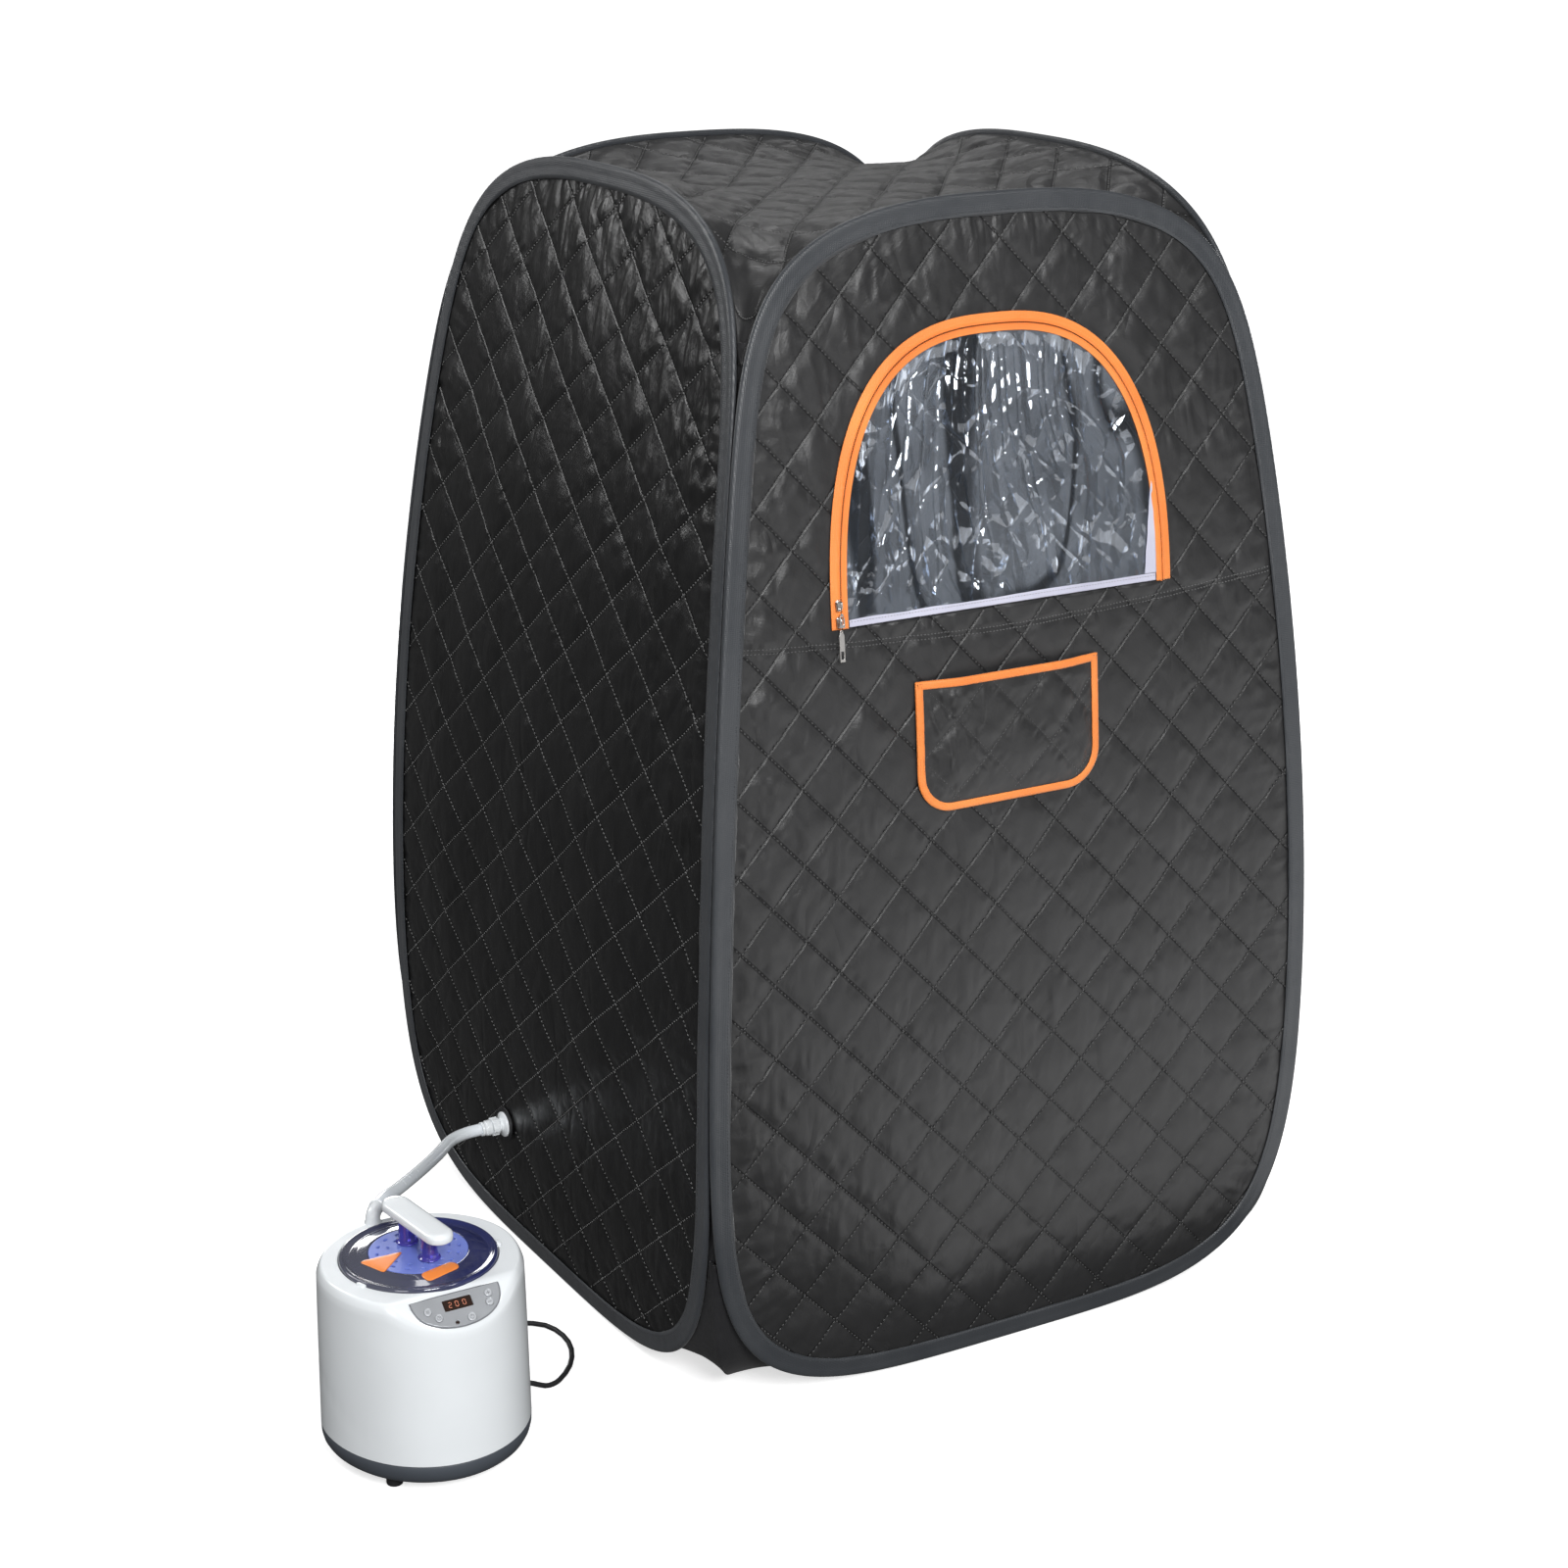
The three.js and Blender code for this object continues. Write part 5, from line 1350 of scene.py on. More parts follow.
def arch_teeth(inset, n, slip):
    """One half of the zip's coil: small rounded loops across the tape, every 2.6 mm."""
    line, inward = arch_frame(0, 420)
    spots, ways = sewn_line(line + inward * inset, 2.6)
    where, along, out = on_wall("front", spots + ways * slip, ways, n)
    across = np.cross(along, out)
    return stitches(where, across, out, 3.6, 1.7, 1.1)


def make_zip():
    z = ZIP_BASE
    outer = rounded([(-0.2, z), (-0.2, z + 1.3), (8.6, z + 1.7), (9.4, z + 2.8), (11.4, z + 2.8), (11.6, z + 0.2),
                     (6, z)], 0.5, 2, closed=True)
    inner = rounded([(12.9, z + 1.6), (12.9, z + 2.9), (14.4, z + 2.9), (15.4, z + 2.7), (20.8, z + 2.5),
                     (20.8, z + 1.6)], 0.4, 2, closed=True)
    parts = [arch_ribbon(outer), arch_thread(2.2, z + 1.45), arch_thread(6.6, z + 1.65),
             arch_teeth(10.9, z + 3.0, 0.0)]
    track = join_meshes("zip_track_outer", parts, [ORANGE, ORANGE_THREAD, ORANGE_THREAD, ORANGE])
    attach(track, "front_wall", "zip_outer_tape", slot="orange_tape")
    parts = [arch_ribbon(inner), arch_thread(18.6, z + 2.62), arch_teeth(13.7, z + 3.0, 1.3)]
    flap = join_meshes("zip_track_inner", parts, [ORANGE, ORANGE_THREAD, ORANGE])
    return attach(flap, "window_flap", "zip_inner_tape", slot="orange_tape")


def make_film():
    """The clear flap: hung in slack upright folds from the arch, with sharp creases."""
    rows, columns = ((190, 250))
    line, inward = arch_frame(0, 600)
    edge = line + inward * 17.0
    right, z = even_rows(edge[len(edge) // 2 :][::-1], rows)
    z[0] = WINDOW["sill"] + 1
    half = np.maximum(right - WINDOW["middle"], 1.0)
    u = WINDOW["middle"] + half[:, None] * np.linspace(-1, 1, columns)[None]
    z = np.repeat(z[:, None], columns, 1)
    rim = window_depth(u, np.maximum(z, WINDOW["sill"] + 0.6)) - 17
    free = smooth(np.minimum(rim, z - WINDOW["sill"] - 9), 2, 26)
    fan = (u - WINDOW["middle"]) * (1 + 0.25 * (z - WINDOW["sill"]) / WINDOW["rise"])
    sway = 16 * field(u, z, 120, 90, 101)
    upright = field(fan + sway, z, 30, 260, 102) + 0.35 * field(fan + sway, z, 13, 150, 103)
    ridge = (1 - np.abs(field(fan + 1.4 * sway, z, 12, 130, 104))) ** 5
    slant = (1 - np.abs(field(0.7 * u + 0.7 * z, 0.7 * z - 0.7 * u, 26, 60, 105))) ** 7
    counter = (1 - np.abs(field(0.8 * u - 0.6 * z, 0.8 * z + 0.6 * u, 30, 52, 106))) ** 7
    crumple = field(u, z, 9, 12, 107) * smooth(field(u, z, 60, 60, 108), -0.3, 0.6)
    broad = smooth(z, WINDOW["sill"], WINDOW["sill"] + 120)
    height = -3.0 + 2.2 * upright - 2.2 * ridge * (0.4 + 0.6 * broad) + 1.4 * (slant - counter) + 0.5 * crumple
    offset = FACE + 0.9 + free * height
    near = smooth(rim, 0, 5)
    offset = offset * near + (FACE + 0.9) * (1 - near)
    points, faces = thick_sheet(put("front", u, z, offset + 0.25), put("front", u, z, offset - 0.25))
    film = add_mesh("window_film", points, faces, FILM)
    return attach(film, "window_flap", "window_sheet", slot="clear_film")


def make_hem():
    """The cloth strip along the flap's lower edge, and the wider turned-in strip up its right end."""
    columns, rows = 240, 8
    left, right = WINDOW["middle"] - 211, WINDOW["middle"] + 211
    t, v = np.meshgrid(np.linspace(0, 1, columns), np.linspace(0, 1, rows))
    u = left + (right - left) * t
    low, high = WINDOW["sill"] + 1.2, 8.5 + 1.0 * field(u, v, 40, 9, 111)
    z = low + v * high
    n = FACE + 2.0 + 0.5 * field(u, z, 16, 9, 112)
    strip = thick_sheet(put("front", u, z, n + 0.5), put("front", u, z, n - 0.3))
    v, t = np.meshgrid(np.linspace(0, 1, 60), np.linspace(0, 1, 10))
    z = WINDOW["sill"] + 10 + 118 * v
    width = 15 * (1 - v) ** 0.7 + 1.5
    u = right + 1 - width * (1 - t) + 0.8 * field(z, t, 16, 9, 113) * (1 - t)
    n = FACE + 2.2 + 0.6 * field(u, z, 9, 14, 114) * (1 - t)
    side = thick_sheet(put("front", u, z, n + 0.35), put("front", u, z, n - 0.2))
    seam = np.array([[left + 1, low + 5.8], [right - 1, low + 5.8]])
    thread = thread_along("front", seam, 4.0, FACE + 2.6, (2.7, 0.8, 0.4))
    hem = join_meshes("window_hem_strip", [strip, side, thread], [LILAC, LILAC, THREAD])
    return attach(fix_outward(hem), "window_flap", "window_hem")


TRACK_U = WINDOW["middle"] - WINDOW["half"] + 7.5
SLIDER_HEIGHT = 13


def wall_matrix(u, z, n):
    """A frame on the front wall: x across, y up along the wall, z outward."""
    here, up, out = put("front", np.array([u, u, u]), np.array([z, z + 1, z]), np.array([n, n, n + 1]))
    y = (up - here) / np.linalg.norm(up - here)
    out = (out - here) - y * ((out - here) @ y)
    out /= np.linalg.norm(out)
    x = np.cross(y, out)
    return Matrix(((x[0], y[0], out[0], here[0]), (x[1], y[1], out[1], here[1]),
                   (x[2], y[2], out[2], here[2]), (0, 0, 0, 1)))


def make_slider(name, z, out, length):
    """A slider body with its nose and bridge at a height z, and its holed pull, which stands out by out."""
    outline = rounded([(-3.7, 4.2), (-2.4, 6.4), (2.4, 6.4), (3.7, 4.2), (3.2, -1), (2.9, -6.2), (-2.9, -6.2),
                       (-3.2, -1)], 1.2, 3, closed=True)
    low = plate("low", [outline], 1.4, 0.45, STEEL, wall_matrix(TRACK_U, z, FACE + 4.75))
    high = plate("high", [outline * [0.9, 0.94]], 1.2, 0.45, STEEL, wall_matrix(TRACK_U, z, FACE + 6.5))
    bridge = [(0, -4.6, 6.9), (0, -4.2, 8.2 + out), (0, -2.6, 9.6 + out), (0, 2.4, 9.6 + out), (0, 4.2, 8.4 + out),
              (0, 4.6, 6.9)]
    frame_at = wall_matrix(TRACK_U, z, FACE)
    route = np.array([list(frame_at @ Vector(p)) for p in smooth_route(bridge, 5)])
    arch = add_mesh("arch", *rings_mesh(tube_rings(route, 0.85, 10)), STEEL)
    nose = add_mesh("nose", *nose_block(frame_at), STEEL)
    body = merge("zip_slider_" + name + "_cast", [low, high, arch, nose])
    attach(sharpen(body), "slider_" + name, "zip_slider_" + name, slot="zip_metal")
    top = z - SLIDER_HEIGHT / 2 - 1.2
    half = length / 2
    tab = rounded([(-1.7, half), (1.7, half), (2.0, half - 3), (3.4, half - 6), (3.4, -half), (-3.4, -half),
                   (-3.4, half - 6), (-2.0, half - 3)], 1.0, 4, closed=True)
    slot_low, slot_high = -half + 3.2, -half + 12.5
    window = rounded([(-1.7, slot_high), (1.7, slot_high), (1.7, slot_low), (-1.7, slot_low)], 0.9, 4, closed=True)
    eye = circle(0.95, 0, half - 1.9, 14)
    holes = [window[::-1], eye[::-1]] if length > 20 else [window[::-1] + [0, 0.2]]
    tab_piece = plate("zip_pull_" + name + "_cast", [tab, *holes], 1.3, 0.3, STEEL,
                      wall_matrix(TRACK_U, top - half, FACE + 8.4 + out))
    attach(sharpen(tab_piece), "pull_" + name, "zip_pull_" + name, slot="zip_metal")


def nose_block(frame_at):
    """The wedge that joins a slider's two plates at its nose."""
    shape = rounded([(-1.6, 6.0), (1.6, 6.0), (0.9, 1.5), (-0.9, 1.5)], 0.4, 2, closed=True)
    return rings_mesh(np.array([[list(frame_at @ Vector((x, y, n))) for x, y in shape] for n in (5.2, 6.2)]))


inner_track = make_zip()
film = make_film()
hem = make_hem()
make_slider("upper", 968, out=2.6, length=16)
make_slider("lower", 949, out=0.0, length=36)

# ------------------------------------------------------------------ patch pocket

POCKET_BULGE = 8.5
POCKET_SHIFT = (-13, 8)  # of its quilting against the wall's


def pocket_height(u, z):
    """Outward offset of the pocket's face: sewn down at its sides and foot, slack at its mouth."""
    across = POCKET["half"] - np.abs(u - POCKET["middle"])
    sides = np.minimum(pocket_depth(u, np.minimum(z, POCKET["top"] - 80)), across)
    belly = smooth(sides, -2, 62)
    a, b = lattice_of("front", u - POCKET_SHIFT[0], z - POCKET_SHIFT[1])
    puff = quilt_height(a, b, u, z, 131, 1.1, 3.2) * smooth(sides, 6, 26) * smooth(POCKET["top"] - z, 6, 22)
    tugs = 0.8 * field(u - z, u + z, 9, 15, 133) * smooth(sides, 4, 14) * np.exp(-np.maximum(sides, 0) / 26)
    return FACE + 1.9 + POCKET_BULGE * belly + puff + tugs


def make_pocket():
    rows, columns = ((90, 140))
    v, t = np.meshgrid(np.linspace(0, 1, rows), np.linspace(-1, 1, columns), indexing="ij")
    z = POCKET["bottom"] + 0.5 + v * (POCKET["top"] - POCKET["bottom"] - 1.0)
    lift = POCKET["corner"] - (z - POCKET["bottom"])
    trim = np.where(lift > 0, POCKET["corner"] - np.sqrt(np.maximum(POCKET["corner"] ** 2 - lift**2, 0)), 0)
    u = POCKET["middle"] + t * (POCKET["half"] - 0.5 - trim)
    outer = pocket_height(u, z)
    points, faces = thick_sheet(put("front", u, z, outer), put("front", u, z, np.maximum(outer - 2.2, FACE + 0.15)))
    patch = add_mesh("pocket_quilt", points, faces, QUILT)
    attach(patch, "front_wall", "pocket_patch", slot="quilted_satin")
    sewn = make_pocket_stitches()
    edge = make_pocket_edge()


def make_pocket_stitches():
    spots, ways = sewn_lattice("front", 900, 5.0, lambda u, z: pocket_depth(u, z) > 11, POCKET_SHIFT)
    height = pocket_height(*spots.T) + 0.15
    points, faces = stitches(*on_wall("front", spots, ways, height), 3.4, 1.2, 0.7)
    return attach(add_mesh("pocket_quilt_stitches", points, faces, THREAD, shade=False), "front_wall")


def make_pocket_edge():
    """Orange binding folded over the pocket's edge all the way round."""
    line = pocket_line(0.6)
    inward = -inward_of(line, closed=True)
    if pocket_depth(*(line + inward * 4).T).mean() < 0:
        inward = -inward
    rising = smooth(np.arange(20), 0, 19)
    crinkle = 0.35 * field(np.arange(len(line)) * 1.5, np.zeros(len(line)), 7, 1, 141)
    crinkle[-20:] *= 1 - rising
    crinkle[:20] *= rising

    def face_at(u, z):
        return pocket_height(u, np.clip(z, 0, POCKET["top"] - 0.6))

    section = [(0, -1.4), (-0.7, -0.4), (-0.5, 1.0), (0.8, 1.9), (3.5, 2.1), (6.5, 2.0), (8.6, 1.6), (9.0, 0.6),
               (8.6, 0.1), (4, 0.1), (1.0, 0.0), (0.8, -1.2)]
    rings = []
    for r, n in section:
        u, z = (line + inward * r).T
        rings.append(put("front", u, z, face_at(u, z) - 0.35 + n + crinkle * (n > 1)))
    parts = [rings_mesh(np.stack(rings, 1), closed=True)]
    for r in (2.4, 6.9):
        path = line + inward * r
        path = np.concatenate([path, path[:1]])
        parts.append(thread_along("front", path, 3.6, lambda u, z: face_at(u, z) + 1.75, THREAD_SIZE))
    edge = join_meshes("pocket_binding", parts, [ORANGE, ORANGE_THREAD, ORANGE_THREAD])
    return attach(fix_outward(edge), "front_wall", "pocket_edge_tape", slot="orange_tape")


make_pocket()

# ------------------------------------------------------------------ hose port grommet


def make_grommet():
    """A turned rubber ring whose axis stands square to the leaning wall."""
    profile = rounded([(13.2, -6.0), (16, -6.4), (22.4, -5.6), (22.8, -4.4), (17, -3.9), (16.1, -3.4), (16.1, 3.4),
                       (17, 3.9), (22.8, 4.4), (22.4, 5.6), (16, 6.4), (13.2, 6.0)], 0.7, 3, closed=True)
    points, faces = ring_mesh(profile, 56)
    lean = math.atan2(side_x(PORT["z"] - 5) - side_x(PORT["z"] + 5), 10)
    x = points[:, 2] * math.cos(lean) - points[:, 0] * math.sin(lean)
    z = points[:, 2] * math.sin(lean) + points[:, 0] * math.cos(lean)
    placed = np.stack([x - side_x(PORT["z"]), points[:, 1] + PORT["y"], z + PORT["z"]], -1)
    ring = add_mesh("hose_port_ring", placed, faces, RUBBER)
    attach(sharpen(fix_outward(ring), 50), "left_side", "hose_port_grommet", slot="soft_rubber")


make_grommet()

# ------------------------------------------------------------------ steam pot: shell, base and feet

POT = {"side": 121, "front": 134, "back": 112, "foot": 14, "band": 40, "rim": 238}
SLOPE = {"y": -93, "z": 238, "angle": math.radians(38)}
FASCIA = {"half": 53, "height": 40, "top": 6}
LID_RADIUS = 91
AROUND = 144
ANGLES = np.arange(AROUND) * 2 * np.pi / AROUND


def plan(angle, grow):
    """The pot's oval plan grown by grow, at an angle about the lid's axis."""
    depth = np.where(np.sin(angle) > 0, POT["back"], POT["front"])
    return np.stack([(POT["side"] + grow) * np.cos(angle), (depth + grow) * np.sin(angle)], -1)


def slope_height(y):
    """The shell's top: level round the lid, falling forward in front of it, with a soft edge between."""
    plane = SLOPE["z"] + (y - SLOPE["y"]) * math.tan(SLOPE["angle"])
    soft = 5.0
    level = POT["rim"]
    h = np.clip(0.5 + 0.5 * (plane - level) / soft, 0, 1)
    return plane * (1 - h) + level * h - soft * h * (1 - h)


def on_slope(across, down, out):
    c, s = math.cos(SLOPE["angle"]), math.sin(SLOPE["angle"])
    return np.stack(np.broadcast_arrays(across, SLOPE["y"] - down * c - out * s, SLOPE["z"] - down * s + out * c), -1)


def slope_frame(across, down, out):
    """x across, y up the slope, z out of it, in the whole object's frame."""
    c, s = math.cos(SLOPE["angle"]), math.sin(SLOPE["angle"])
    x, y, z = in_pot(on_slope(np.array(across, float), down, out))
    return Matrix(((1, 0, 0, x), (0, c, -s, y), (0, s, c, z), (0, 0, 0, 1)))


def in_fascia(x, y):
    """How far inside the fascia's half-moon a point of the shell's top is; below zero outside."""
    down = (SLOPE["y"] - y) / math.cos(SLOPE["angle"]) - FASCIA["top"]
    reach = np.hypot(x / FASCIA["half"], np.maximum(down, 0) / FASCIA["height"])
    return np.minimum((1 - reach) * FASCIA["height"], down)


def make_shell():
    """The moulded shell, as rings from inside the lid's seat out over the top, down the side and back inside."""
    lip = (LID_RADIUS + 1.2) * np.stack([np.cos(ANGLES), np.sin(ANGLES)], -1)
    edge_xy = plan(ANGLES, -8)
    edge_z = slope_height(edge_xy[:, 1])
    rings = []

    def ring(xy, z):
        rings.append(np.concatenate([xy, np.broadcast_to(z, AROUND)[:, None]], -1))

    ring(lip * 0.985, POT["rim"] - 14)
    ring(lip * 0.985, POT["rim"] - 4)
    ring(lip * 0.992, slope_height(lip[:, 1]) - 1.0)
    for share in np.concatenate([[0.0, 0.03], np.linspace(0.08, 0.9, 38)]):
        xy = lip * (1.004 - 0.004 * share) * (1 - share) + edge_xy * share
        sunk = 4.4 * smooth(in_fascia(xy[:, 0], xy[:, 1]), 0.2, 1.3)
        ring(xy, slope_height(xy[:, 1]) - sunk)
    start = rings[-1]
    corner = np.concatenate([plan(ANGLES, -6.5), edge_z[:, None]], -1)
    end = np.concatenate([plan(ANGLES, -3.4), (edge_z - 11)[:, None]], -1)
    for t in np.linspace(0.12, 1, 8):
        rings.append((1 - t) ** 2 * start + 2 * t * (1 - t) * corner + t * t * end)
    for share in np.linspace(0.05, 1, 20):
        z = (edge_z - 11) * (1 - share) + (POT["band"] + 0.6) * share
        xy = plan(ANGLES, -3.4 + 3.4 * share**0.8)
        # the moulded crease that runs down the left side
        near_side = np.exp(-(((xy[:, 0] + POT["side"]) / 26) ** 2))
        crease = 0.9 * near_side * np.exp(-(((z - 105 - 0.55 * xy[:, 1]) / 2.2) ** 2))
        ring(xy * (1 - crease[:, None] / POT["side"]), z)
    for grow, z in ((-1.0, POT["band"] + 0.2), (-4.0, POT["band"] + 0.3), (-5.0, POT["band"] + 12), (-9.0, 200)):
        ring(plan(ANGLES, grow), z)
    points, faces = rings_mesh(np.array(rings), closed=True)
    shell = add_mesh("pot_shell_moulded", in_pot(points), faces, WHITE)
    attach(sharpen(fix_outward(shell), 50), "steam_pot", "pot_shell", slot="white_shell")


def make_slots():
    """Four short upright vent slits in the pot's left side, and the two tabs beside the lid."""
    parts = []
    for turn, top, bottom in ((172, 209, 190), (176.5, 213, 194), (181, 216, 200), (185.5, 218, 205)):
        a = math.radians(turn)
        xy = plan(np.array([a]), -3.15)[0]
        tangent = plan(np.array([a + 0.01]), -3.15)[0] - xy
        tangent /= np.linalg.norm(tangent)
        outline = rounded([(-1.1, bottom), (1.1, bottom), (1.1, top), (-1.1, top)], 1.0, 4, closed=True)
        outward = np.array([tangent[1], -tangent[0]])
        outward *= np.sign(outward @ xy)
        faces_out = []
        for push, shrink in ((-1.2, 1.0), (0.12, 1.0), (0.2, 0.75)):
            level = np.array([[*(xy + tangent * x * shrink + outward * push), z] for x, z in outline])
            level[:, :2] -= xy * ((level[:, 2:] - 60) / 180 * 0.004)
            faces_out.append(level)
        parts.append(rings_mesh(in_pot(np.array(faces_out))))
    attach(fix_outward(join_meshes("pot_vent_slits", parts, [RUBBER] * len(parts))), "steam_pot")
    tabs = []
    for turn in (203, 348):
        a = math.radians(turn)
        frame_at = np.array([math.cos(a), math.sin(a)])
        side = np.array([-frame_at[1], frame_at[0]])
        outline = rounded([(90.4, -7), (95.5, -5.6), (95.5, 5.6), (90.4, 7)], 2, 4, closed=True)
        levels = [[[*(frame_at * (r * k + 93 * (1 - k)) + side * t * k), z] for r, t in outline]
                  for z, k in ((235, 1.0), (239.6, 1.0), (240.3, 0.82))]
        tabs.append(rings_mesh(in_pot(np.array(levels))))
    attach(sharpen(fix_outward(join_meshes("lid_catch_tabs", tabs, [WHITE] * 2))), "steam_pot")


def make_base():
    """The dark base pan, as rings of (height, how much larger than the plan), and its four feet."""
    levels = [(39.9, -4.5), (39.9, -0.6), (39.2, 0.0), (30, -0.3), (24, -1.8), (19, -4.6), (15.5, -8.6),
              (14.1, -12.5), (14.1, -30), (17, -31), (17.5, -14), (22, -9), (27, -6), (38, -4.8)]
    rings = np.array([np.concatenate([plan(ANGLES, grow), np.full((AROUND, 1), z)], -1) for z, grow in levels])
    points, faces = rings_mesh(rings, closed=True)
    base = add_mesh("pot_base_moulded", in_pot(points), faces, SLATE)
    attach(sharpen(fix_outward(base), 50), "steam_pot", "pot_base", slot="slate_base")
    profile = rounded([(7.5, 0), (9.2, 0.2), (9.9, 3), (9.2, 9), (9.8, 13.6), (4, 13.7)], 0.8, 3)
    profile = np.concatenate([[(2.5, 0.0)], profile, [(2.5, 13.7)]])
    for number, (x, y) in enumerate([(-70, -72), (70, -72), (-64, 66), (64, 66)], 1):
        points, faces = rings_mesh(lathe_rings(profile, 32))
        foot = add_mesh(f"rubber_foot_{number}", in_pot(points + [x, y, 0]), faces, RUBBER)
        attach(sharpen(foot, 40), "steam_pot", f"foot_{number}", slot="soft_rubber")


# ------------------------------------------------------------------ control fascia


def half_moon(grow):
    """The fascia's outline moved out by grow: level at its top, round below."""
    turn = np.linspace(0, np.pi, 60)
    half = FASCIA["half"] + grow
    low = np.stack([half * np.cos(turn), -(FASCIA["height"] + grow) * np.sin(turn) ** 0.8], -1)
    return np.concatenate([low, [(-half * 0.5, grow), (half * 0.5, grow)]])


# (across, down the slope from the fascia's top, radius) of each key
BUTTON_PLACES = {"plus": (38, 10, 4.4), "minus": (36, 21, 4.4), "mode": (-37, 15, 4.4), "timer": (-27, 25, 4.4),
                 "power": (10, 33, 5)}
# middle of each segment of a digit, and whether it stands upright
SEGMENTS = {"a": (0, 3.1, 0), "b": (1.7, 1.55, 1), "c": (1.7, -1.55, 1), "d": (0, -3.1, 0), "e": (-1.7, -1.55, 1),
            "f": (-1.7, 1.55, 1), "g": (0, 0, 0)}


def fascia_plate(name, loops, thick, bevel, material, down, out, across=0):
    """A plate on the pot's slope, down from the fascia's top edge and out of its face."""
    return plate(name, loops, thick, bevel, material, slope_frame(across, FASCIA["top"] + down, out))


def make_fascia():
    holes = [circle(r + 0.3, x, -down, 28)[::-1] for x, down, r in BUTTON_PLACES.values()]
    holes.append(circle(2.4, -8, -35, 20)[::-1])
    holes.append(rounded([(-17.2, -6.3), (17.2, -6.3), (17.2, -19.7), (-17.2, -19.7)], 1, 3, closed=True))
    face = fascia_plate("control_fascia_plate", [half_moon(-0.2), *holes], 1.8, 0.35, SILVER, 0, -0.2)
    attach(sharpen(face, 30), "steam_pot", "control_fascia", slot="fascia")
    border = fascia_plate("fascia_border", [half_moon(1.2), half_moon(-0.1)[::-1]], 1.6, 0.3, GREY, 0, -0.2)
    attach(sharpen(border, 30), "steam_pot")
    glass = fascia_plate("display_glass", [box_outline(17, 6.5, 1, 4)], 1.6, 0.3, DISPLAY, 13, -0.4)
    attach(sharpen(glass, 30), "steam_pot", "display_window", slot="display")
    bars = []
    for place, lit in zip((-9, -1, 8), ("abdeg", "abcdef", "abcdef")):
        for key in lit:
            x, y, upright = SEGMENTS[key]
            bar = box_outline(*((0.32, 1.25) if upright else (1.25, 0.32))) + [place + x, y]
            bars.append(fascia_plate("bar", [bar], 0.14, 0.03, DIGIT, 13, 0.42))
    attach(merge("display_digits", bars), "steam_pot")
    dot = fascia_plate("receiver_lens", [circle(2.1, 0, 0, 28)], 1.6, 0.5, DISPLAY, 35, -0.3, -8)
    attach(sharpen(dot, 30), "steam_pot", "receiver_window")


def make_buttons():
    """Round keys with a plus, a minus, three steam lines, a clock and a power sign on their faces."""
    thin = 0.42
    clock_ring = [circle(2.6, 0, 0, 32), circle(2.1, 0, 0, 32)[::-1]]
    marks = {
        "plus": [[box_outline(2.1, thin)], [box_outline(thin, 2.1)]],
        "minus": [[box_outline(2.1, thin)]],
        "mode": [[box_outline(1.8, 0.3) + [0, lift]] for lift in (1.3, 0, -1.3)],
        "timer": [[box_outline(0.3, 1.2) + [0, 1.0]], [box_outline(1.0, 0.3) + [0.8, 0]], clock_ring],
        "power": [[box_outline(0.3, 1.4) + [0, 1.5]], clock_ring],
    }
    for name, (x, down, r) in BUTTON_PLACES.items():
        pieces = [fascia_plate("cap", [circle(r, 0, 0, 40)], 2.2, 0.7, BUTTON, down, 0.65, x)]
        pieces += [fascia_plate("mark", loops, 0.16, 0.04, GREY, down, 1.78, x) for loops in marks[name]]
        attach(sharpen(merge(name + "_key", pieces), 30), name + "_button", name + "_button")


# ------------------------------------------------------------------ lid, elbow and the parts inside

LID_TURN = math.radians(7)
RING_Z = 233
DISC_Z = RING_Z + 8


def in_lid(points):
    return in_pot(turned(points, LID_TURN))


def lid_piece(name, mesh, material, *nodes, slot=None, angle=38):
    points, faces = mesh
    piece = fix_outward(add_mesh(name, in_lid(points), faces, material))
    return attach(sharpen(piece, angle), "lid", *nodes, slot=slot)


def make_lid():
    ring = rounded([(57.4, 240.6), (62, 239.7), (78, 235.6), (87, 233.2), (90.6, 233.2), (90.9, 239), (89.5, 241.2),
                    (87, 241.7), (84, 240.2), (80, 239.2), (77, 240.2), (70, 242.6), (60, 244.2), (57.4, 244.3)],
                   1.2, 3, closed=True)
    lid_piece("lid_ring_moulded", ring_mesh(ring, 96), LID_PAINTED_REFLECTION, "lid_ring", slot="blue_lid")
    seal = rounded([(80.3, 230.6), (88, 230.6), (88, 232.6), (80.3, 232.6)], 0.7, 3, closed=True)
    lid_piece("lid_seal_ring", ring_mesh(seal, 72), RUBBER, "lid_seal")
    holes = []
    for radius, count, shift in ((36, 12, 0.0), (47, 16, 0.5)):
        for k in range(count):
            turn = (k + shift) / count * 2 * math.pi + math.pi / count
            holes.append(turned(box_outline(1.7, 3, 1.6, 4) + [radius, 0], turn)[::-1])
    lid_frame = Matrix.Translation(Vector(in_lid((0, 0, DISC_Z + 1.7)))) @ Matrix.Rotation(LID_TURN, 4, "Z")
    diffuser = plate("steam_diffuser_disc", [circle(56.9, 0, 0, 96), *holes], 3.4, 0.5, PERIWINKLE, lid_frame)
    attach(sharpen(diffuser, 30), "lid", "steam_diffuser", slot="blue_lid")
    post = rounded([(3, 244.8), (13, 244.8), (13, 246.6), (10.6, 248), (9.7, 253), (9.4, 262), (9.8, 276.6),
                    (3, 276.6)], 0.9, 3)
    for name, y in (("front", -25), ("back", 25)):
        mesh = rings_mesh(lathe_rings(post, 48) + [0, y, 0])
        lid_piece("lid_post_" + name + "_turned", mesh, POST_BLUE, "lid_post_" + name, slot="blue_lid")
    make_bridge()
    make_stickers()


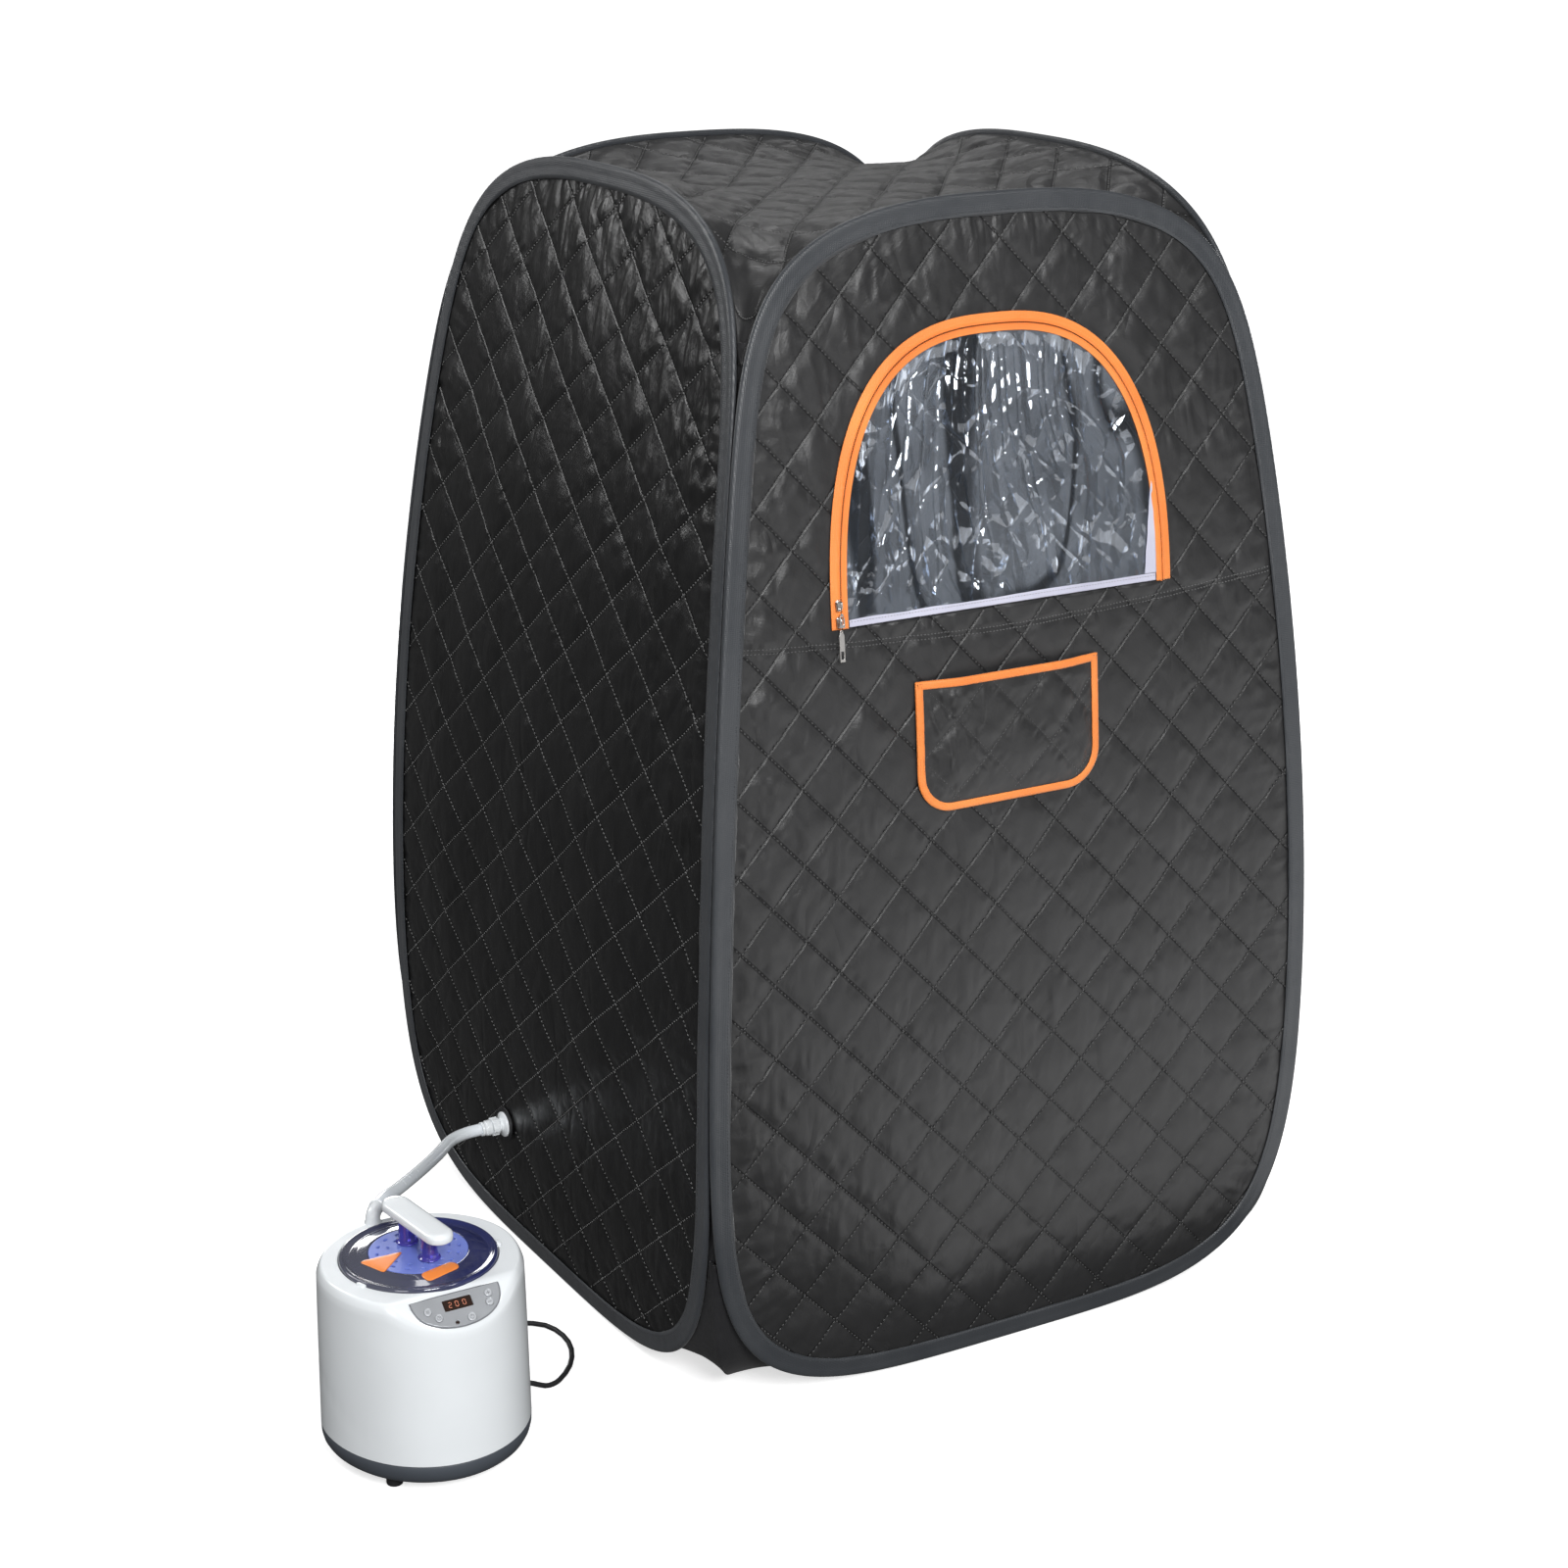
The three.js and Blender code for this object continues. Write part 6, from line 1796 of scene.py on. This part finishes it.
def make_bridge():
    """The white handle across the two posts: round ends, a crowned top and soft edges."""
    turn = np.linspace(0, np.pi, 25)
    arc = np.stack([np.cos(turn), np.sin(turn)], -1)
    rings = []
    for z, shrink in ((277.0, 2.2), (277.2, 0.6), (278.5, 0.0), (283.5, 0.0), (285.8, 0.8), (287.2, 2.6),
                      (287.9, 5.4), (288.0, 9.0)):
        end = arc * (16.5 - shrink) + [0, 47.5]
        rings.append(np.concatenate([np.concatenate([end, -end]), np.full((50, 1), z)], -1))
    lid_piece("lid_bridge_moulded", rings_mesh(np.array(rings)), WHITE, "lid_bridge", slot="white_shell", angle=60)


def lid_surface(radius):
    """Height of the lid's upper face at a distance from its axis."""
    profile = [(0, 244.45), (57, 244.45), (60, 244.3), (70, 242.7), (77, 240.4), (80, 239.5), (84, 240.3),
               (87, 241.8)]
    return np.interp(radius, *zip(*profile))


def make_stickers():
    """Two plain orange labels on the lid: a rounded triangle and a rounded bar, both blank."""
    triangle = rounded([(-17, -21), (31, 0), (-17, 21)], 6, 6, closed=True)
    bar = box_outline(23, 8.5, 8, 6)
    parts = []
    for outline, turn, place in ((triangle, 13, (-47, -1)), (bar, 7, (-6, -59))):
        flat = turned(outline, math.radians(turn))
        rings = []
        for lift, share in ((0.3, 1.0), (0.7, 1.0), (0.8, 0.92), (0.8, 0.7), (0.8, 0.45), (0.8, 0.2), (0.8, 0.02)):
            xy = flat * share + place
            rings.append(np.concatenate([xy, (lid_surface(np.linalg.norm(xy, axis=1)) + lift)[:, None]], -1))
        points, faces = rings_mesh(np.array(rings))
        parts.append((in_lid(points), faces))
    labels = join_meshes("lid_labels_blank", parts, [STICKER, STICKER])
    attach(fix_outward(labels), "lid")


def make_elbow():
    route = smooth_route(ELBOW_ROUTE, 6)
    along = np.linspace(0, 1, len(route))
    radius = 8.6 + 1.6 * np.exp(-((along / 0.16) ** 2)) + 0.9 * smooth(along, 0.86, 0.9)
    points, faces = rings_mesh(tube_rings(route, radius, 28))
    points[:, 2] = np.maximum(points[:, 2], POT["rim"] - 2)
    elbow = add_mesh("steam_elbow_moulded", in_pot(points), faces, WHITE)
    attach(sharpen(elbow, 45), "steam_pot", "steam_elbow", slot="white_shell")


def finish_inside():
    """Nodes that keep their CAD shape take a fuller material."""
    for material, names in ((BRUSHED, ("water_pot", "heating_plate")), (BOARD, ("control_board",)),
                            (STEEL, ("front_hoop", "left_hoop", "right_hoop", "back_hoop"))):
        for name in names:
            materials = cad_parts[name].data.materials
            materials.clear()
            materials.append(material)


make_shell()
make_slots()
make_base()
make_fascia()
make_buttons()
make_lid()
make_elbow()
finish_inside()
